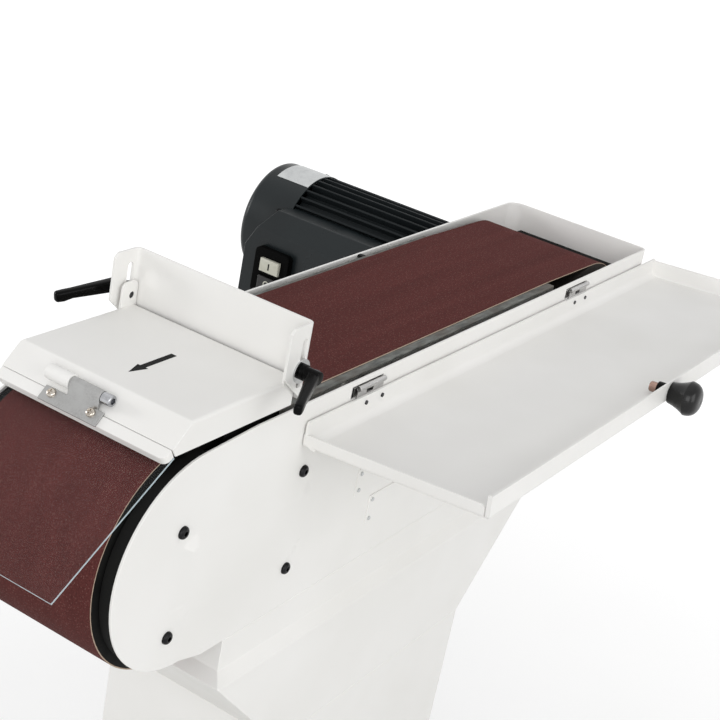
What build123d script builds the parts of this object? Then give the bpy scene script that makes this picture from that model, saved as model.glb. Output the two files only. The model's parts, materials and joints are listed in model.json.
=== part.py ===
from build123d import *
import os
from math import acos, asin, atan2, cos, hypot, radians, sin

# Belt sanding machine, in millimetres.
# Pieces are drawn about the contact wheel: x runs along the belt to the drive drum, y runs across the belt
# to the motor, and z is measured up from the belt's grinding face. save() then sets them on the floor.

# Working allowances
RUN_GAP = 0.3
BEARING_GAP = 0.05
TOUCH_GAP = 0.1
CUT = 1.0

# Belt and pulleys
BELT_WIDTH = 150.0
BELT_THICK = 1.0
WHEEL_R = 100.0
DRUM_R = 87.0
AXLE_SPAN = 701.5
HALF_BELT = BELT_WIDTH / 2
WHEEL_Z = -(WHEEL_R + BELT_THICK)
DRUM_Z = -91.0
DRUM_RISE = DRUM_Z - WHEEL_Z
LOWER_SLOPE = atan2(DRUM_RISE, AXLE_SPAN) + asin((WHEEL_R - DRUM_R) / hypot(AXLE_SPAN, DRUM_RISE))
WHEEL_HUB_R = 86.0
WHEEL_SEAT_R = 26.0
WHEEL_BEARING_Y = (50.0, 65.0)
AXLE_R = 12.5
SLIDE_HALF = 22.0
SLIDE_CLEAR_IN = 2.0
SLIDE_CLEAR_OUT = 1.5
RAIL_X = (-45.0, 50.0)
RAIL_HIGH = 10.0
DRUM_RIM = 9.0
DRUM_HUB_R = 24.0
DRUM_HUB_START = 10.0
DRUM_WEB_Y = (30.0, 42.0)

# Casing
WORK_HEIGHT = 920.0
CASE_TOP = -1.9
CASE_HALF = 90.6
SHEET = 2.5
CASE_IN = CASE_HALF - SHEET
CASE_END = 817.0
CASE_CORNER = 17.0
CASE_FRONT_CORNER = 8.0
CASE_DEPTH = 204.0
PLATE_R = 95.5
RAMP_X = 60.0
CHIN_RUN = 4.0
FIELD_X = (-22.0, 155.0)
FIELD_Z = (-158.0, -74.2)
FIELD_CORNER = 22.0
FIELD_SLOPE = 15.0
FIELD_RISE = 3.5
FIELD_SCREWS = ((-21.5, -68.5), (137.0, -68.5), (-21.5, -164.0), (137.0, -164.0))
SCREW_R = 5.5
SCREW_HIGH = 3.4
SCREW_DOME = 2.8
SEAL_INSET = 2.5
SEAL_WIDE = 7.0
SEAL_CLEAR = 1.5
END_SEAL = 8.5
END_SEAL_Z = (-60.0, -33.5)
MOTOR_HOLE_R = 32.0
NAME_PLATES = (((233.0, 388.0), (-127.0, -100.0)), ((263.0, 418.0), (-167.0, -137.0)))
NAME_PLATE_THICK = 1.0
NAME_RIVET_INSET = 5.0
NAME_RIVET_R = 2.0
BUFFER_X = (466.0, 472.0)
BUFFER_DEEP = 3.0

# Stand
STAND_X = 330.0
COLUMN_HALF_X = 167.0
COLUMN_HALF_Y = 100.6
COLLAR_HALF_X = 270.0
STEP = 10.0
COLLAR_Z = -235.0
STEP_Z = -245.0
COLUMN_Z = -357.0
BASE_SIZE = (500.0, 440.0, 8.0)
BASE_CORNER = 25.0
ANCHOR_SPACING = (430.0, 370.0)
ANCHOR_R = 6.0
PORT_R = 50.0
PORT_LENGTH = 62.0
PORT_WALL = 3.0
PORT_FLANGE = 14.0
PORT_Z = -480.0

# Platen under the belt
PLATEN_X = (95.0, 587.0)
PLATEN_Y = (-83.5, 80.3)
PAD_THICK = 2.0
PLATEN_THICK = 10.0
SUPPORT_X = (130.0, 522.0)
SUPPORT_WEB = 4.0
SUPPORT_SHELF = 30.0
SUPPORT_DEEP = 28.0

# Wheel guard
HOOD_HALF = 87.0
HOOD_TOP = 25.7
HOOD_SHEET = 2.0
HOOD_IN = HOOD_HALF - HOOD_SHEET
HOOD_BEND = 3.0
HOOD_FOLD_X = -25.0
HOOD_END_X = 105.0
HOOD_ROOM_LOW = -30.0
FLAP_ANGLE = 42.4
FLAP_LENGTH = 26.5
FLAP_ROOM = 38.5
SKIRT_LOW = 1.0
SKIRT_TIP_X = -40.3
LUG_X = (-13.0, 7.0)
LUG_ROOT = 12.0
LUG_RISE = 13.0
LUG_CORNER = 6.0
BOSS_R = 4.4
STRAP_X = (20.0, 88.0)
STRAP_Z = (-28.0, 20.0)
STRAP_THICK = 3.0
PACKER_TOP = -8.0

# Work stop and its clamping levers
STOP_X = 109.0
STOP_SHEET = 2.5
STOP_TOP = 75.0
STOP_LOW = 5.0
STOP_BEND = 6.0
EAR_IN = 90.1
EAR_BACK_X = 80.0
EAR_LOW_Z = 32.5
EAR_CHAMFER = 4.0
CLAMP_X = 101.0
CLAMP_Z = 35.0
CLAMP_R = 3.0
STUD_RECESS = 0.8
STUD_SHORT = 4.0
WASHER_R = 10.5
SLOT_Z = (20.0, 63.0)
SLOT_CLEAR = 0.6
HUB_R = 8.5
HUB_START = 94.1
HUB_END = 112.0
HUB_ROUND = 3.0
ARM_Y = 105.0
ARM_ROOT = (10.5, 13.0)
ARM_TIP = (8.5, 9.0)
ARM_CORNER = 2.5
ARM_END_R = 5.2
FRONT_TIP = (51.5, -127.0, 27.0)
REAR_TIP = (50.0, 124.0, 30.8)

# Eye shield
SHIELD_HALF = 86.0
SHIELD_SLOPE = 33.3
SHIELD_TOP = (-41.0, 0.5)
SHIELD_LENGTH = 140.0
SHIELD_THICK = 2.0
BAR_FROM = 27.0
BAR_TO = 36.5
BAR_CORNER = 6.0
PIVOT_ALONG = 15.2
PIVOT_R = 3.0
CURL_R = 5.0
CURL_LIFT = 5.4
PLATE_LIFT = 0.4
PLATE_THICK = 1.5
PLATE_TOP = PLATE_LIFT + PLATE_THICK
PLATE_ALONG = (25.0, 37.5)
PLATE_Y = (-19.5, 39.5)
TONGUE_ROOT = 25.15
TONGUE_Y = (-13.0, 18.0)
BARREL_Y = (18.3, 42.0)
BARREL_FOOT = (4.0, 3.0)
HOOD_BARREL_R = 6.4
PIN_HEAD_R = 4.8
PIN_HEAD_LONG = 9.0
SHIELD_SCREWS = ((29.3, -9.3), (29.3, 31.0))
SHIELD_SCREW_R = 4.0
SHIELD_SCREW_HIGH = 2.4

# Belt cover, drawn open
LID_X = (126.4, 845.0)
LID_BACK_Y = -92.2
LID_LOW_Z = -42.2
LID_REACH = 177.2
LID_TILT = 3.8
LID_SHEET = 2.0
LID_BACK_TOP = -18.5
LID_BACK_CORNER = 3.0
LID_BACK_BEND = 10.0
LID_STUB = 12.0
LID_SIDE_RIM = 12.0
LID_OUTER_RIM = 21.0
LID_BEND = 4.0
LID_SLIT = 1.4
LID_CORNER = 4.0
KNOB_X = 484.5
KNOB_UP = 9.0
KNOB_STUD_R = 4.0
KNOB_STUD_LONG = 15.0
KNOB_NECK_R = 10.5
KNOB_R = 17.0
KNOB_WIDE_AT = 18.0
KNOB_LONG = 30.0
SPACER_R = 6.5
SPACER_LONG = 10.0
BOLT_END_R = 5.0
BOLT_END_LONG = 9.0

# Hinges of the belt cover
HINGE_Y = -92.2
HINGE_Z = -9.9
HINGE_X = (218.2, 631.2)
WINDOW_HALF = 24.8
WINDOW_Z = (-19.0, -7.0)
LEAF_SPAN = (-17.2, 24.3)
KNUCKLE_SPAN = (-2.6, 7.6)
KNUCKLE_GAP = 0.3
BARREL_R = 2.6
HINGE_PIN_R = 1.3
LEAF = 1.5
LEAF_TOP = HINGE_Z - BARREL_R - 0.4
LEAF_DEEP = 18.0
NOTCH_LOW = -17.0
RIVET_OFFSETS = (-3.8, 21.9)
RIVET_Z = -25.3
RIVET_R = 2.0
RIVET_HIGH = 1.0

# Motor
SHAFT_R = 14.0
SHAFT_PAST = 38.0
MOTOR_Y = (102.0, 291.0)
MOTOR_SPIGOT = 8.0
MOTOR_SEAT_R = 28.0
MOTOR_SEAT_DEEP = 8.0
MOTOR_SEAL_R = 20.0
CORE_R = 62.0
CORE_WALL = 6.0
FIN_R = 70.6
FIN_COUNT = 36
FIN_THICK = 2.6
FIN_ROOT = 2.0
STATOR_R = 41.0
ROTOR_R = 40.0
STACK_INSET = (25.0, 30.0)
END_SHIELD = 14.0
COWL_R = 71.0
COWL_END = 356.0
COWL_WALL = 1.8
COWL_ROUND = 9.0
COWL_SLOTS = (14.0, 24.0, 34.0, 44.0, 54.0)
COWL_SLOT = 5.0
COWL_SPOKE = 7.0
LABEL_THICK = 0.6
LABEL_Y = (291.6, 338.0)
LABEL_TURN = (-32.0, 27.0)
FLANGE_R = 80.0
FLANGE_PCD = 130.0
BOLT_R = 4.0
BOLT_HEX_R = 7.5
BOLT_HEX_HIGH = 5.5
FAN_HUB_R = 22.0
FAN_R = 58.0
FAN_Y = (12.0, 36.0)
FAN_DISC = 3.0
FAN_VANES = 8
FAN_VANE = (38.0, 22.0, 2.0)

# Terminal box and switch on the motor
BOX_Y = (150.0, 322.0)
BOX_FACE_X = 600.0
BOX_BACK_X = AXLE_SPAN - 30.0
BOX_TOP_Z = -50.0
BOX_CREASE_Z = -71.0
BOX_LOW_Z = -160.0
BOX_SHOULDER_X = 622.0
BOX_LEAN_Y = 297.0
BOX_LEAN_Z = -96.0
BOX_WALL = 4.0
GLAND_OFFSET = (20.0, 40.0)
GLAND_R = 8.0
GLAND_COLLAR_R = 10.0
GLAND_COLLAR_LONG = 20.0
GLAND_NUT_R = 13.0
GLAND_NUT_HIGH = 9.0
GLAND_BORE_R = 4.5
GLAND_NECK = 4.0
SWITCH_PROUD = 9.0
SWITCH_MARGIN = (11.0, 11.0, 8.0)
SWITCH_CORNER = 6.0
BUTTON_Y = (261.0, 288.0)
BUTTON_PROUD = 4.0
BUTTON_DEEP = 5.0
BUTTON_ROUND = 1.5
START_Z = (-116.5, -100.3)
STOP_Z = (-138.5, -122.0)


def save(name, *solids):
    """Set a piece on the floor under the stand's centre and write it."""
    piece = Part() + list(solids)
    export_step(Pos(-STAND_X, 0, WORK_HEIGHT) * piece, f"parts/{name}.step")


def block(x, y, z):
    """Box between two x, two y and two z values."""
    size = Box(x[1] - x[0], y[1] - y[0], z[1] - z[0])
    return Pos((x[0] + x[1]) / 2, (y[0] + y[1]) / 2, (z[0] + z[1]) / 2) * size


def across(face, y):
    """Prism of a face drawn in x and z, between two y values."""
    start = Plane((0, y[0], 0), x_dir=(1, 0, 0), z_dir=(0, -1, 0))
    return extrude(start * face, amount=y[1] - y[0], dir=(0, 1, 0))


def lengthwise(face, x):
    """Prism of a face drawn in y and z, between two x values."""
    return extrude(Pos(x[0], 0, 0) * (Plane.YZ * face), amount=x[1] - x[0], dir=(1, 0, 0))


def polygon(*points):
    """Face with straight edges through the points."""
    return make_face(Polyline(*points, close=True))


def panel(u, v):
    """Flat rectangle between two values each way."""
    return Pos((u[0] + u[1]) / 2, (v[0] + v[1]) / 2) * Rectangle(u[1] - u[0], v[1] - v[0])


def rod(x, z, radius, y):
    """Round bar along y between two y values."""
    return Pos(x, (y[0] + y[1]) / 2, z) * Rot(X=90) * Cylinder(radius, y[1] - y[0])


def ring(x, z, outer, inner, y):
    """Tube along y between two y values."""
    return rod(x, z, outer, y) - rod(x, z, inner, y)


def bar_x(y, z, radius, x):
    """Round bar along x between two x values."""
    return Pos((x[0] + x[1]) / 2, y, z) * Rot(Y=90) * Cylinder(radius, x[1] - x[0])


def side(sign, low, high):
    """Pair of y values at a distance from the belt's middle, on one side of it."""
    return (low, high) if sign > 0 else (-high, -low)


def widened(span, amount):
    """Pair of values moved apart at both ends."""
    return (span[0] - amount, span[1] + amount)


def flap_point(along, lift):
    """Point in x and z on the hood's sloping flap, measured from the fold."""
    angle = radians(FLAP_ANGLE)
    x = HOOD_FOLD_X - along * cos(angle) - lift * sin(angle)
    z = HOOD_TOP - along * sin(angle) + lift * cos(angle)
    return (x, z)


def loop_face(offset):
    """Face enclosed by the belt's path, offset outwards from the pulleys."""
    big = WHEEL_R + offset
    small = DRUM_R + offset
    top = WHEEL_Z + big
    down = (sin(LOWER_SLOPE), -cos(LOWER_SLOPE))
    leave = (PLATEN_X[1] - AXLE_SPAN, top - DRUM_Z)
    turn = atan2(leave[1], leave[0]) - acos(small / hypot(*leave))
    top_left = (0, top)
    bend = (PLATEN_X[1], top)
    top_right = (AXLE_SPAN + small * cos(turn), DRUM_Z + small * sin(turn))
    low_right = (AXLE_SPAN + small * down[0], DRUM_Z + small * down[1])
    low_left = (big * down[0], WHEEL_Z + big * down[1])
    return make_face([
        Polyline(top_left, bend, top_right),
        ThreePointArc(top_right, (AXLE_SPAN + small, DRUM_Z), low_right),
        Line(low_right, low_left),
        ThreePointArc(low_left, (-big, WHEEL_Z), top_left),
    ])


def plate_face():
    """Outline of a side plate, rounded about the contact wheel."""
    fall = CASE_TOP - WHEEL_Z
    turn = atan2(fall, RAMP_X) + acos(PLATE_R / hypot(RAMP_X, fall))
    start = (PLATE_R * cos(turn), WHEEL_Z + PLATE_R * sin(turn))
    foot = (0, WHEEL_Z - PLATE_R)
    end = CASE_END - CASE_CORNER
    chin = (CASE_DEPTH + foot[1]) * CHIN_RUN
    return make_face([
        Line((end, CASE_TOP), (RAMP_X, CASE_TOP)),
        Line((RAMP_X, CASE_TOP), start),
        ThreePointArc(start, (-PLATE_R, WHEEL_Z), foot),
        Polyline(foot, (chin, -CASE_DEPTH), (end, -CASE_DEPTH), (end, CASE_TOP)),
    ])


def pressed_field(base_y):
    """Low pressed field of the side plate, rising towards the operator from base_y."""
    middle = (sum(FIELD_X) / 2, sum(FIELD_Z) / 2)
    length = FIELD_X[1] - FIELD_X[0]
    height = FIELD_Z[1] - FIELD_Z[0]
    levels = []
    for inset, rise in ((0.0, 0.0), (FIELD_SLOPE, FIELD_RISE)):
        outline = RectangleRounded(length - 2 * inset, height - 2 * inset, FIELD_CORNER - inset)
        plane = Plane((middle[0], base_y - rise, middle[1]), x_dir=(1, 0, 0), z_dir=(0, -1, 0))
        levels.append(plane * outline)
    return loft(levels)


def motor_bolt_places():
    """Four bolt places round the motor axis."""
    offset = FLANGE_PCD / 2 * cos(radians(45))
    return [(AXLE_SPAN + i * offset, DRUM_Z + k * offset) for i in (-1, 1) for k in (-1, 1)]


def rounded_end(solid, inset):
    """Round the two upright corners at the drum's end, with radii less an inset."""
    for index, radius in ((0, CASE_FRONT_CORNER), (-1, CASE_CORNER)):
        corner = solid.edges().filter_by(Axis.Z).group_by(Axis.X)[-1].sort_by(Axis.Y)[index]
        solid = fillet(corner, radius - inset)
    return solid


def make_casing():
    """Side plates, end wall, bottom tray and what is fixed to them."""
    outline = plate_face()
    wall_y = widened((CASE_IN, CASE_HALF), CUT)
    front = across(outline, (-CASE_HALF, -CASE_IN))
    front = front + pressed_field(-CASE_HALF) - pressed_field(-CASE_IN)
    for x in HINGE_X:
        front -= block((x - WINDOW_HALF, x + WINDOW_HALF), side(-1, *wall_y), WINDOW_Z)
    save("front_plate", front)

    rear = across(outline, (CASE_IN, CASE_HALF))
    rear -= rod(AXLE_SPAN, DRUM_Z, MOTOR_HOLE_R, wall_y)
    for x, z in motor_bolt_places():
        rear -= rod(x, z, BOLT_R, wall_y)
    save("rear_plate", rear)
    save("lid_buffer", block(BUFFER_X, (PLATEN_Y[1] + RUN_GAP, CASE_IN), (CASE_TOP - BUFFER_DEEP, CASE_TOP)))

    start_x = CASE_END - CASE_CORNER
    wall_z = (-CASE_DEPTH, CASE_TOP)
    wall = rounded_end(block((start_x - CASE_CORNER, CASE_END), (-CASE_HALF, CASE_HALF), wall_z), 0.0)
    inner_x = (start_x - 2 * CASE_CORNER, CASE_END - SHEET)
    inner = rounded_end(block(inner_x, (-CASE_IN, CASE_IN), wall_z), SHEET)
    corner_end = block((start_x, CASE_END), (-CASE_HALF, CASE_HALF), wall_z)
    save("end_wall", (wall - inner) & corner_end)

    tray = block((STAND_X + COLLAR_HALF_X, CASE_END - SHEET), (-CASE_IN, CASE_IN),
                 (-CASE_DEPTH, -CASE_DEPTH + SHEET))
    save("bottom_tray", rounded_end(tray, SHEET))

    seal_x = (CASE_END - SHEET - END_SEAL, CASE_END - SHEET)
    seals = [block(seal_x, (-CASE_IN + CASE_FRONT_CORNER, CASE_IN - CASE_CORNER), END_SEAL_Z)]
    seal_r = PLATE_R - SEAL_INSET
    for sign in (-1, 1):
        strip = ring(0, WHEEL_Z, seal_r, seal_r - SEAL_WIDE, side(sign, HALF_BELT + SEAL_CLEAR, CASE_IN))
        seals.append(strip - block((0, WHEEL_R), (-CASE_HALF, CASE_HALF), (-CASE_DEPTH, 0)))
    save("belt_seals", *seals)

    heads = []
    for x, z in FIELD_SCREWS:
        for sign in (-1, 1):
            head = rod(x, z, SCREW_R, side(sign, CASE_HALF, CASE_HALF + SCREW_HIGH))
            heads.append(fillet(head.edges().sort_by(Axis.Y)[-1 if sign > 0 else 0], SCREW_DOME))
    save("side_plate_screws", *heads)

    plates = []
    rivets = []
    plate_y = -CASE_HALF - NAME_PLATE_THICK
    for x, z in NAME_PLATES:
        plates.append(block(x, (plate_y, -CASE_HALF), z))
        for corner_x in widened(x, -NAME_RIVET_INSET):
            for corner_z in widened(z, -NAME_RIVET_INSET):
                rivets.append(rod(corner_x, corner_z, NAME_RIVET_R, (plate_y - RIVET_HIGH, plate_y)))
    save("name_plates", *plates)
    save("name_plate_rivets", *rivets)


def rectangle_at(half_x, half_y, z):
    """Horizontal rectangle centred over the stand."""
    return Pos(STAND_X, 0, z) * Rectangle(2 * half_x, 2 * half_y)


def funnel(wall):
    """Solid form of the hopper, drawn in by the wall thickness."""
    collar = block((STAND_X - COLLAR_HALF_X + wall, STAND_X + COLLAR_HALF_X - wall),
                   (-CASE_HALF + wall, CASE_HALF - wall), (COLLAR_Z, -CASE_DEPTH))
    wide = COLLAR_HALF_X + STEP - wall
    deep = COLUMN_HALF_Y - wall
    step = loft([rectangle_at(COLLAR_HALF_X - wall, CASE_HALF - wall, COLLAR_Z),
                 rectangle_at(wide, deep, STEP_Z)], ruled=True)
    cone = loft([rectangle_at(wide, deep, STEP_Z),
                 rectangle_at(COLUMN_HALF_X - wall, deep, COLUMN_Z)], ruled=True)
    return collar + step + cone


def make_stand():
    """Base plate, column, hopper and suction port."""
    floor = -WORK_HEIGHT
    length, width, thick = BASE_SIZE
    base = Pos(STAND_X, 0, floor + thick / 2) * Box(length, width, thick)
    base = fillet(base.edges().filter_by(Axis.Z), BASE_CORNER)
    for i in (-1, 1):
        for k in (-1, 1):
            place = (STAND_X + i * ANCHOR_SPACING[0] / 2, k * ANCHOR_SPACING[1] / 2, floor + thick / 2)
            base -= Pos(*place) * Cylinder(ANCHOR_R, 2 * thick)
    save("base_plate", base)

    foot = floor + thick
    outer = block((STAND_X - COLUMN_HALF_X, STAND_X + COLUMN_HALF_X), (-COLUMN_HALF_Y, COLUMN_HALF_Y),
                  (foot, COLUMN_Z))
    bore = block((STAND_X - COLUMN_HALF_X + SHEET, STAND_X + COLUMN_HALF_X - SHEET),
                 (-COLUMN_HALF_Y + SHEET, COLUMN_HALF_Y - SHEET), (foot, COLUMN_Z))
    column = outer - bore
    column -= rod(STAND_X, PORT_Z, PORT_R - PORT_WALL, widened((COLUMN_HALF_Y - SHEET, COLUMN_HALF_Y), CUT))
    save("column", column)
    save("hopper", funnel(0.0) - funnel(SHEET))

    outlet = (COLUMN_HALF_Y, COLUMN_HALF_Y + PORT_LENGTH)
    port = ring(STAND_X, PORT_Z, PORT_R, PORT_R - PORT_WALL, outlet)
    flange = (outlet[0], outlet[0] + PORT_WALL)
    port += ring(STAND_X, PORT_Z, PORT_R + PORT_FLANGE, PORT_R - PORT_WALL, flange)
    save("suction_port", port)


def make_belt_track():
    """Belt, platen and its supports."""
    save("sanding_belt", across(loop_face(BELT_THICK) - loop_face(0), (-HALF_BELT, HALF_BELT)))
    pad_top = -BELT_THICK - BEARING_GAP
    pad_low = pad_top - PAD_THICK
    plate_low = pad_low - PLATEN_THICK
    save("platen_pad", block(PLATEN_X, PLATEN_Y, (pad_low, pad_top)))
    save("platen_plate", block(PLATEN_X, PLATEN_Y, (plate_low, pad_low)))
    bars = []
    for x in SUPPORT_X:
        web = block((x, x + SUPPORT_WEB), (-CASE_IN, CASE_IN), (plate_low - SUPPORT_DEEP, plate_low))
        shelf = block((x, x + SUPPORT_SHELF), (-CASE_IN, CASE_IN), (plate_low - SUPPORT_WEB, plate_low))
        bars.append(web + shelf)
    save("platen_supports", *bars)


def make_contact_wheel():
    """Contact wheel on its sprung axle, with the guides that carry it."""
    width = (-HALF_BELT, HALF_BELT)
    save("wheel_tread", ring(0, WHEEL_Z, WHEEL_R - RUN_GAP, WHEEL_HUB_R, width))
    save("wheel_hub", ring(0, WHEEL_Z, WHEEL_HUB_R, WHEEL_SEAT_R, width))
    bearings = []
    for sign in (-1, 1):
        bearings.append(ring(0, WHEEL_Z, WHEEL_SEAT_R, AXLE_R + BEARING_GAP, side(sign, *WHEEL_BEARING_Y)))
    save("wheel_bearings", *bearings)
    block_y = (HALF_BELT + SLIDE_CLEAR_IN, CASE_IN - SLIDE_CLEAR_OUT)
    save("wheel_axle", rod(0, WHEEL_Z, AXLE_R, (-block_y[1], block_y[1])))
    blocks = []
    rails = []
    height = (WHEEL_Z - SLIDE_HALF, WHEEL_Z + SLIDE_HALF)
    for sign in (-1, 1):
        slide = block((-SLIDE_HALF, SLIDE_HALF), side(sign, *block_y), height)
        blocks.append(slide - rod(0, WHEEL_Z, AXLE_R, side(sign, *block_y)))
        for up in (-1, 1):
            z = side(up, SLIDE_HALF + RUN_GAP, SLIDE_HALF + RAIL_HIGH)
            rail_y = side(sign, block_y[0], CASE_IN)
            rails.append(block(RAIL_X, rail_y, (WHEEL_Z + z[0], WHEEL_Z + z[1])))
    save("slide_blocks", *blocks)
    save("guide_rails", *rails)


def make_hood():
    """Wheel guard with its lugs, the clamping studs and the brackets that carry it."""
    flap_end = flap_point(FLAP_LENGTH, 0)
    outline = polygon((HOOD_END_X, SKIRT_LOW), (HOOD_END_X, HOOD_TOP), (HOOD_FOLD_X, HOOD_TOP), flap_end,
                      (SKIRT_TIP_X, SKIRT_LOW))
    outer = across(outline, (-HOOD_HALF, HOOD_HALF))
    bends = outer.edges().filter_by(Axis.X).group_by(Axis.Z)[-1]
    bends += outer.edges().filter_by(Axis.Y).group_by(Axis.Z)[-1].sort_by(Axis.X)[:1]
    outer = fillet(bends, HOOD_BEND)
    roof = HOOD_TOP - HOOD_SHEET
    flap_in = flap_point(FLAP_ROOM, -HOOD_SHEET)
    room = polygon((HOOD_END_X + CUT, HOOD_ROOM_LOW), (HOOD_END_X + CUT, roof), (HOOD_FOLD_X + CUT, roof),
                   flap_in, (flap_in[0], HOOD_ROOM_LOW))
    hood = outer - across(room, (-HOOD_IN, HOOD_IN))
    studs = []
    washers = []
    brackets = []
    for sign in (-1, 1):
        skirt = side(sign, HOOD_IN, HOOD_HALF)
        lug_x = (CLAMP_X + LUG_X[0], CLAMP_X + LUG_X[1])
        lug = block(lug_x, skirt, (HOOD_TOP - LUG_ROOT, CLAMP_Z + LUG_RISE))
        lug = fillet(lug.edges().filter_by(Axis.Y).group_by(Axis.Z)[-1], LUG_CORNER)
        boss = rod(CLAMP_X, CLAMP_Z, BOSS_R, side(sign, HOOD_HALF, EAR_IN - TOUCH_GAP))
        hole = rod(CLAMP_X, CLAMP_Z, CLAMP_R, side(sign, HOOD_IN - CUT, EAR_IN))
        hood = hood + lug + boss - hole
        stud_y = side(sign, HOOD_IN + STUD_RECESS, HUB_END - STUD_SHORT)
        studs.append(rod(CLAMP_X, CLAMP_Z, CLAMP_R, stud_y))
        washer_y = side(sign, EAR_IN + STOP_SHEET, HUB_START - TOUCH_GAP)
        washers.append(ring(CLAMP_X, CLAMP_Z, WASHER_R, CLAMP_R, washer_y))
        strap = block(STRAP_X, side(sign, HOOD_IN - STRAP_THICK, HOOD_IN), STRAP_Z)
        packer = block(STRAP_X, side(sign, HOOD_IN, CASE_IN), (STRAP_Z[0], PACKER_TOP))
        brackets.append(strap + packer)
    save("hood", hood)
    save("clamp_bolts", *studs)
    save("clamp_washers", *washers)
    save("hood_brackets", *brackets)


def make_work_stop():
    """Bent stop plate with slotted ears, and the two clamping levers."""
    ear_out = EAR_IN + STOP_SHEET
    front_x = STOP_X + STOP_SHEET
    ear = polygon((EAR_BACK_X, EAR_LOW_Z), (EAR_BACK_X, STOP_TOP - EAR_CHAMFER),
                  (EAR_BACK_X + EAR_CHAMFER, STOP_TOP), (front_x, STOP_TOP), (front_x, STOP_LOW))
    outer = across(ear, (-ear_out, ear_out))
    outer = fillet(outer.edges().filter_by(Axis.Z).group_by(Axis.X)[-1], STOP_BEND)
    room = block((EAR_BACK_X - CUT, STOP_X), (-EAR_IN, EAR_IN), widened((STOP_LOW, STOP_TOP), CUT))
    room = fillet(room.edges().filter_by(Axis.Z).group_by(Axis.X)[-1], STOP_BEND - STOP_SHEET)
    slot_width = 2 * CLAMP_R + SLOT_CLEAR
    slot = Pos(CLAMP_X, sum(SLOT_Z) / 2) * Rot(Z=90) * SlotOverall(SLOT_Z[1] - SLOT_Z[0], slot_width)
    save("stop_plate", outer - room - across(slot, widened((-ear_out, ear_out), CUT)))
    for name, sign, tip in (("front_lever", -1, FRONT_TIP), ("rear_lever", 1, REAR_TIP)):
        save(name, clamp_lever(sign, tip))


def clamp_lever(sign, tip):
    """Clamping lever: round hub, flat-sided tapering arm and rounded end."""
    root = Vector(CLAMP_X, sign * ARM_Y, CLAMP_Z)
    end = Vector(*tip)
    sections = []
    for place, size in ((root, ARM_ROOT), (end, ARM_TIP)):
        plane = Plane(place, x_dir=(0, 1, 0), z_dir=end - root)
        sections.append(plane * RectangleRounded(*size, ARM_CORNER))
    hub = rod(CLAMP_X, CLAMP_Z, HUB_R, side(sign, HUB_START, HUB_END))
    hub = fillet(hub.edges().sort_by(Axis.Y)[-1 if sign > 0 else 0], HUB_ROUND)
    lever = hub + loft(sections) + Pos(*tip) * Sphere(ARM_END_R)
    bore_y = side(sign, HUB_START - CUT, HUB_END - STUD_SHORT + RUN_GAP)
    return lever - rod(CLAMP_X, CLAMP_Z, CLAMP_R + BEARING_GAP, bore_y)


def make_shield():
    """Eye shield: clear sheet, bar, hinge plate and screws, with the barrel and pin on the hood."""
    angle = radians(SHIELD_SLOPE)
    down = (-cos(angle), -sin(angle))
    under = (sin(angle) * SHIELD_THICK, -cos(angle) * SHIELD_THICK)
    low = (SHIELD_TOP[0] + SHIELD_LENGTH * down[0], SHIELD_TOP[1] + SHIELD_LENGTH * down[1])
    sheet = polygon(SHIELD_TOP, low, (low[0] + under[0], low[1] + under[1]),
                    (SHIELD_TOP[0] + under[0], SHIELD_TOP[1] + under[1]))
    save("shield_sheet", across(sheet, (-SHIELD_HALF, SHIELD_HALF)))

    bar_run = BAR_TO - BAR_FROM
    bar_foot = (SHIELD_TOP[0] + bar_run * down[0], SHIELD_TOP[1] + bar_run * down[1])
    bar = polygon(flap_point(BAR_FROM, PLATE_LIFT), flap_point(BAR_TO, PLATE_LIFT), bar_foot, SHIELD_TOP)
    bar = across(bar, (-SHIELD_HALF, SHIELD_HALF))
    low_face = bar.faces().sort_by(Axis.X)[0]
    corners = [edge for edge in low_face.edges() if abs(edge.center().Y) > SHIELD_HALF - CUT]
    save("shield_bar", fillet(corners, BAR_CORNER))

    pivot = flap_point(PIVOT_ALONG, CURL_LIFT)
    plate = rod(*pivot, CURL_R, TONGUE_Y) + across(flap_strip(), PLATE_Y) + across(tongue_face(), TONGUE_Y)
    save("shield_hinge_plate", plate - rod(*pivot, PIVOT_R + BEARING_GAP, widened(TONGUE_Y, CUT)))

    screw = Rot(Y=-FLAP_ANGLE) * Cylinder(SHIELD_SCREW_R, SHIELD_SCREW_HIGH)
    screws = []
    for along, y in SHIELD_SCREWS:
        x, z = flap_point(along, PLATE_TOP + SHIELD_SCREW_HIGH / 2)
        screws.append(Pos(x, y, z) * screw)
    save("shield_screws", *screws)

    wide, narrow = BARREL_FOOT
    foot = polygon(flap_point(PIVOT_ALONG - wide, 0), flap_point(PIVOT_ALONG + wide, 0),
                   flap_point(PIVOT_ALONG + narrow, CURL_LIFT), flap_point(PIVOT_ALONG - narrow, CURL_LIFT))
    sunk = polygon(flap_point(0, 0), flap_point(2 * PIVOT_ALONG, 0), flap_point(2 * PIVOT_ALONG, -CURL_R),
                   flap_point(0, -CURL_R))
    barrel = rod(*pivot, HOOD_BARREL_R, BARREL_Y) - across(sunk, BARREL_Y) + across(foot, BARREL_Y)
    save("shield_barrel", barrel - rod(*pivot, PIVOT_R, BARREL_Y))
    head_y = (TONGUE_Y[0] - RUN_GAP - PIN_HEAD_LONG, TONGUE_Y[0] - RUN_GAP)
    save("shield_pin", rod(*pivot, PIVOT_R, (head_y[0], BARREL_Y[1])) + rod(*pivot, PIN_HEAD_R, head_y))


def flap_strip():
    """Section of the hinge plate where it lies on the shield's bar."""
    start, end = PLATE_ALONG
    return polygon(flap_point(start, PLATE_LIFT), flap_point(end, PLATE_LIFT), flap_point(end, PLATE_TOP),
                   flap_point(start, PLATE_TOP))


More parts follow.
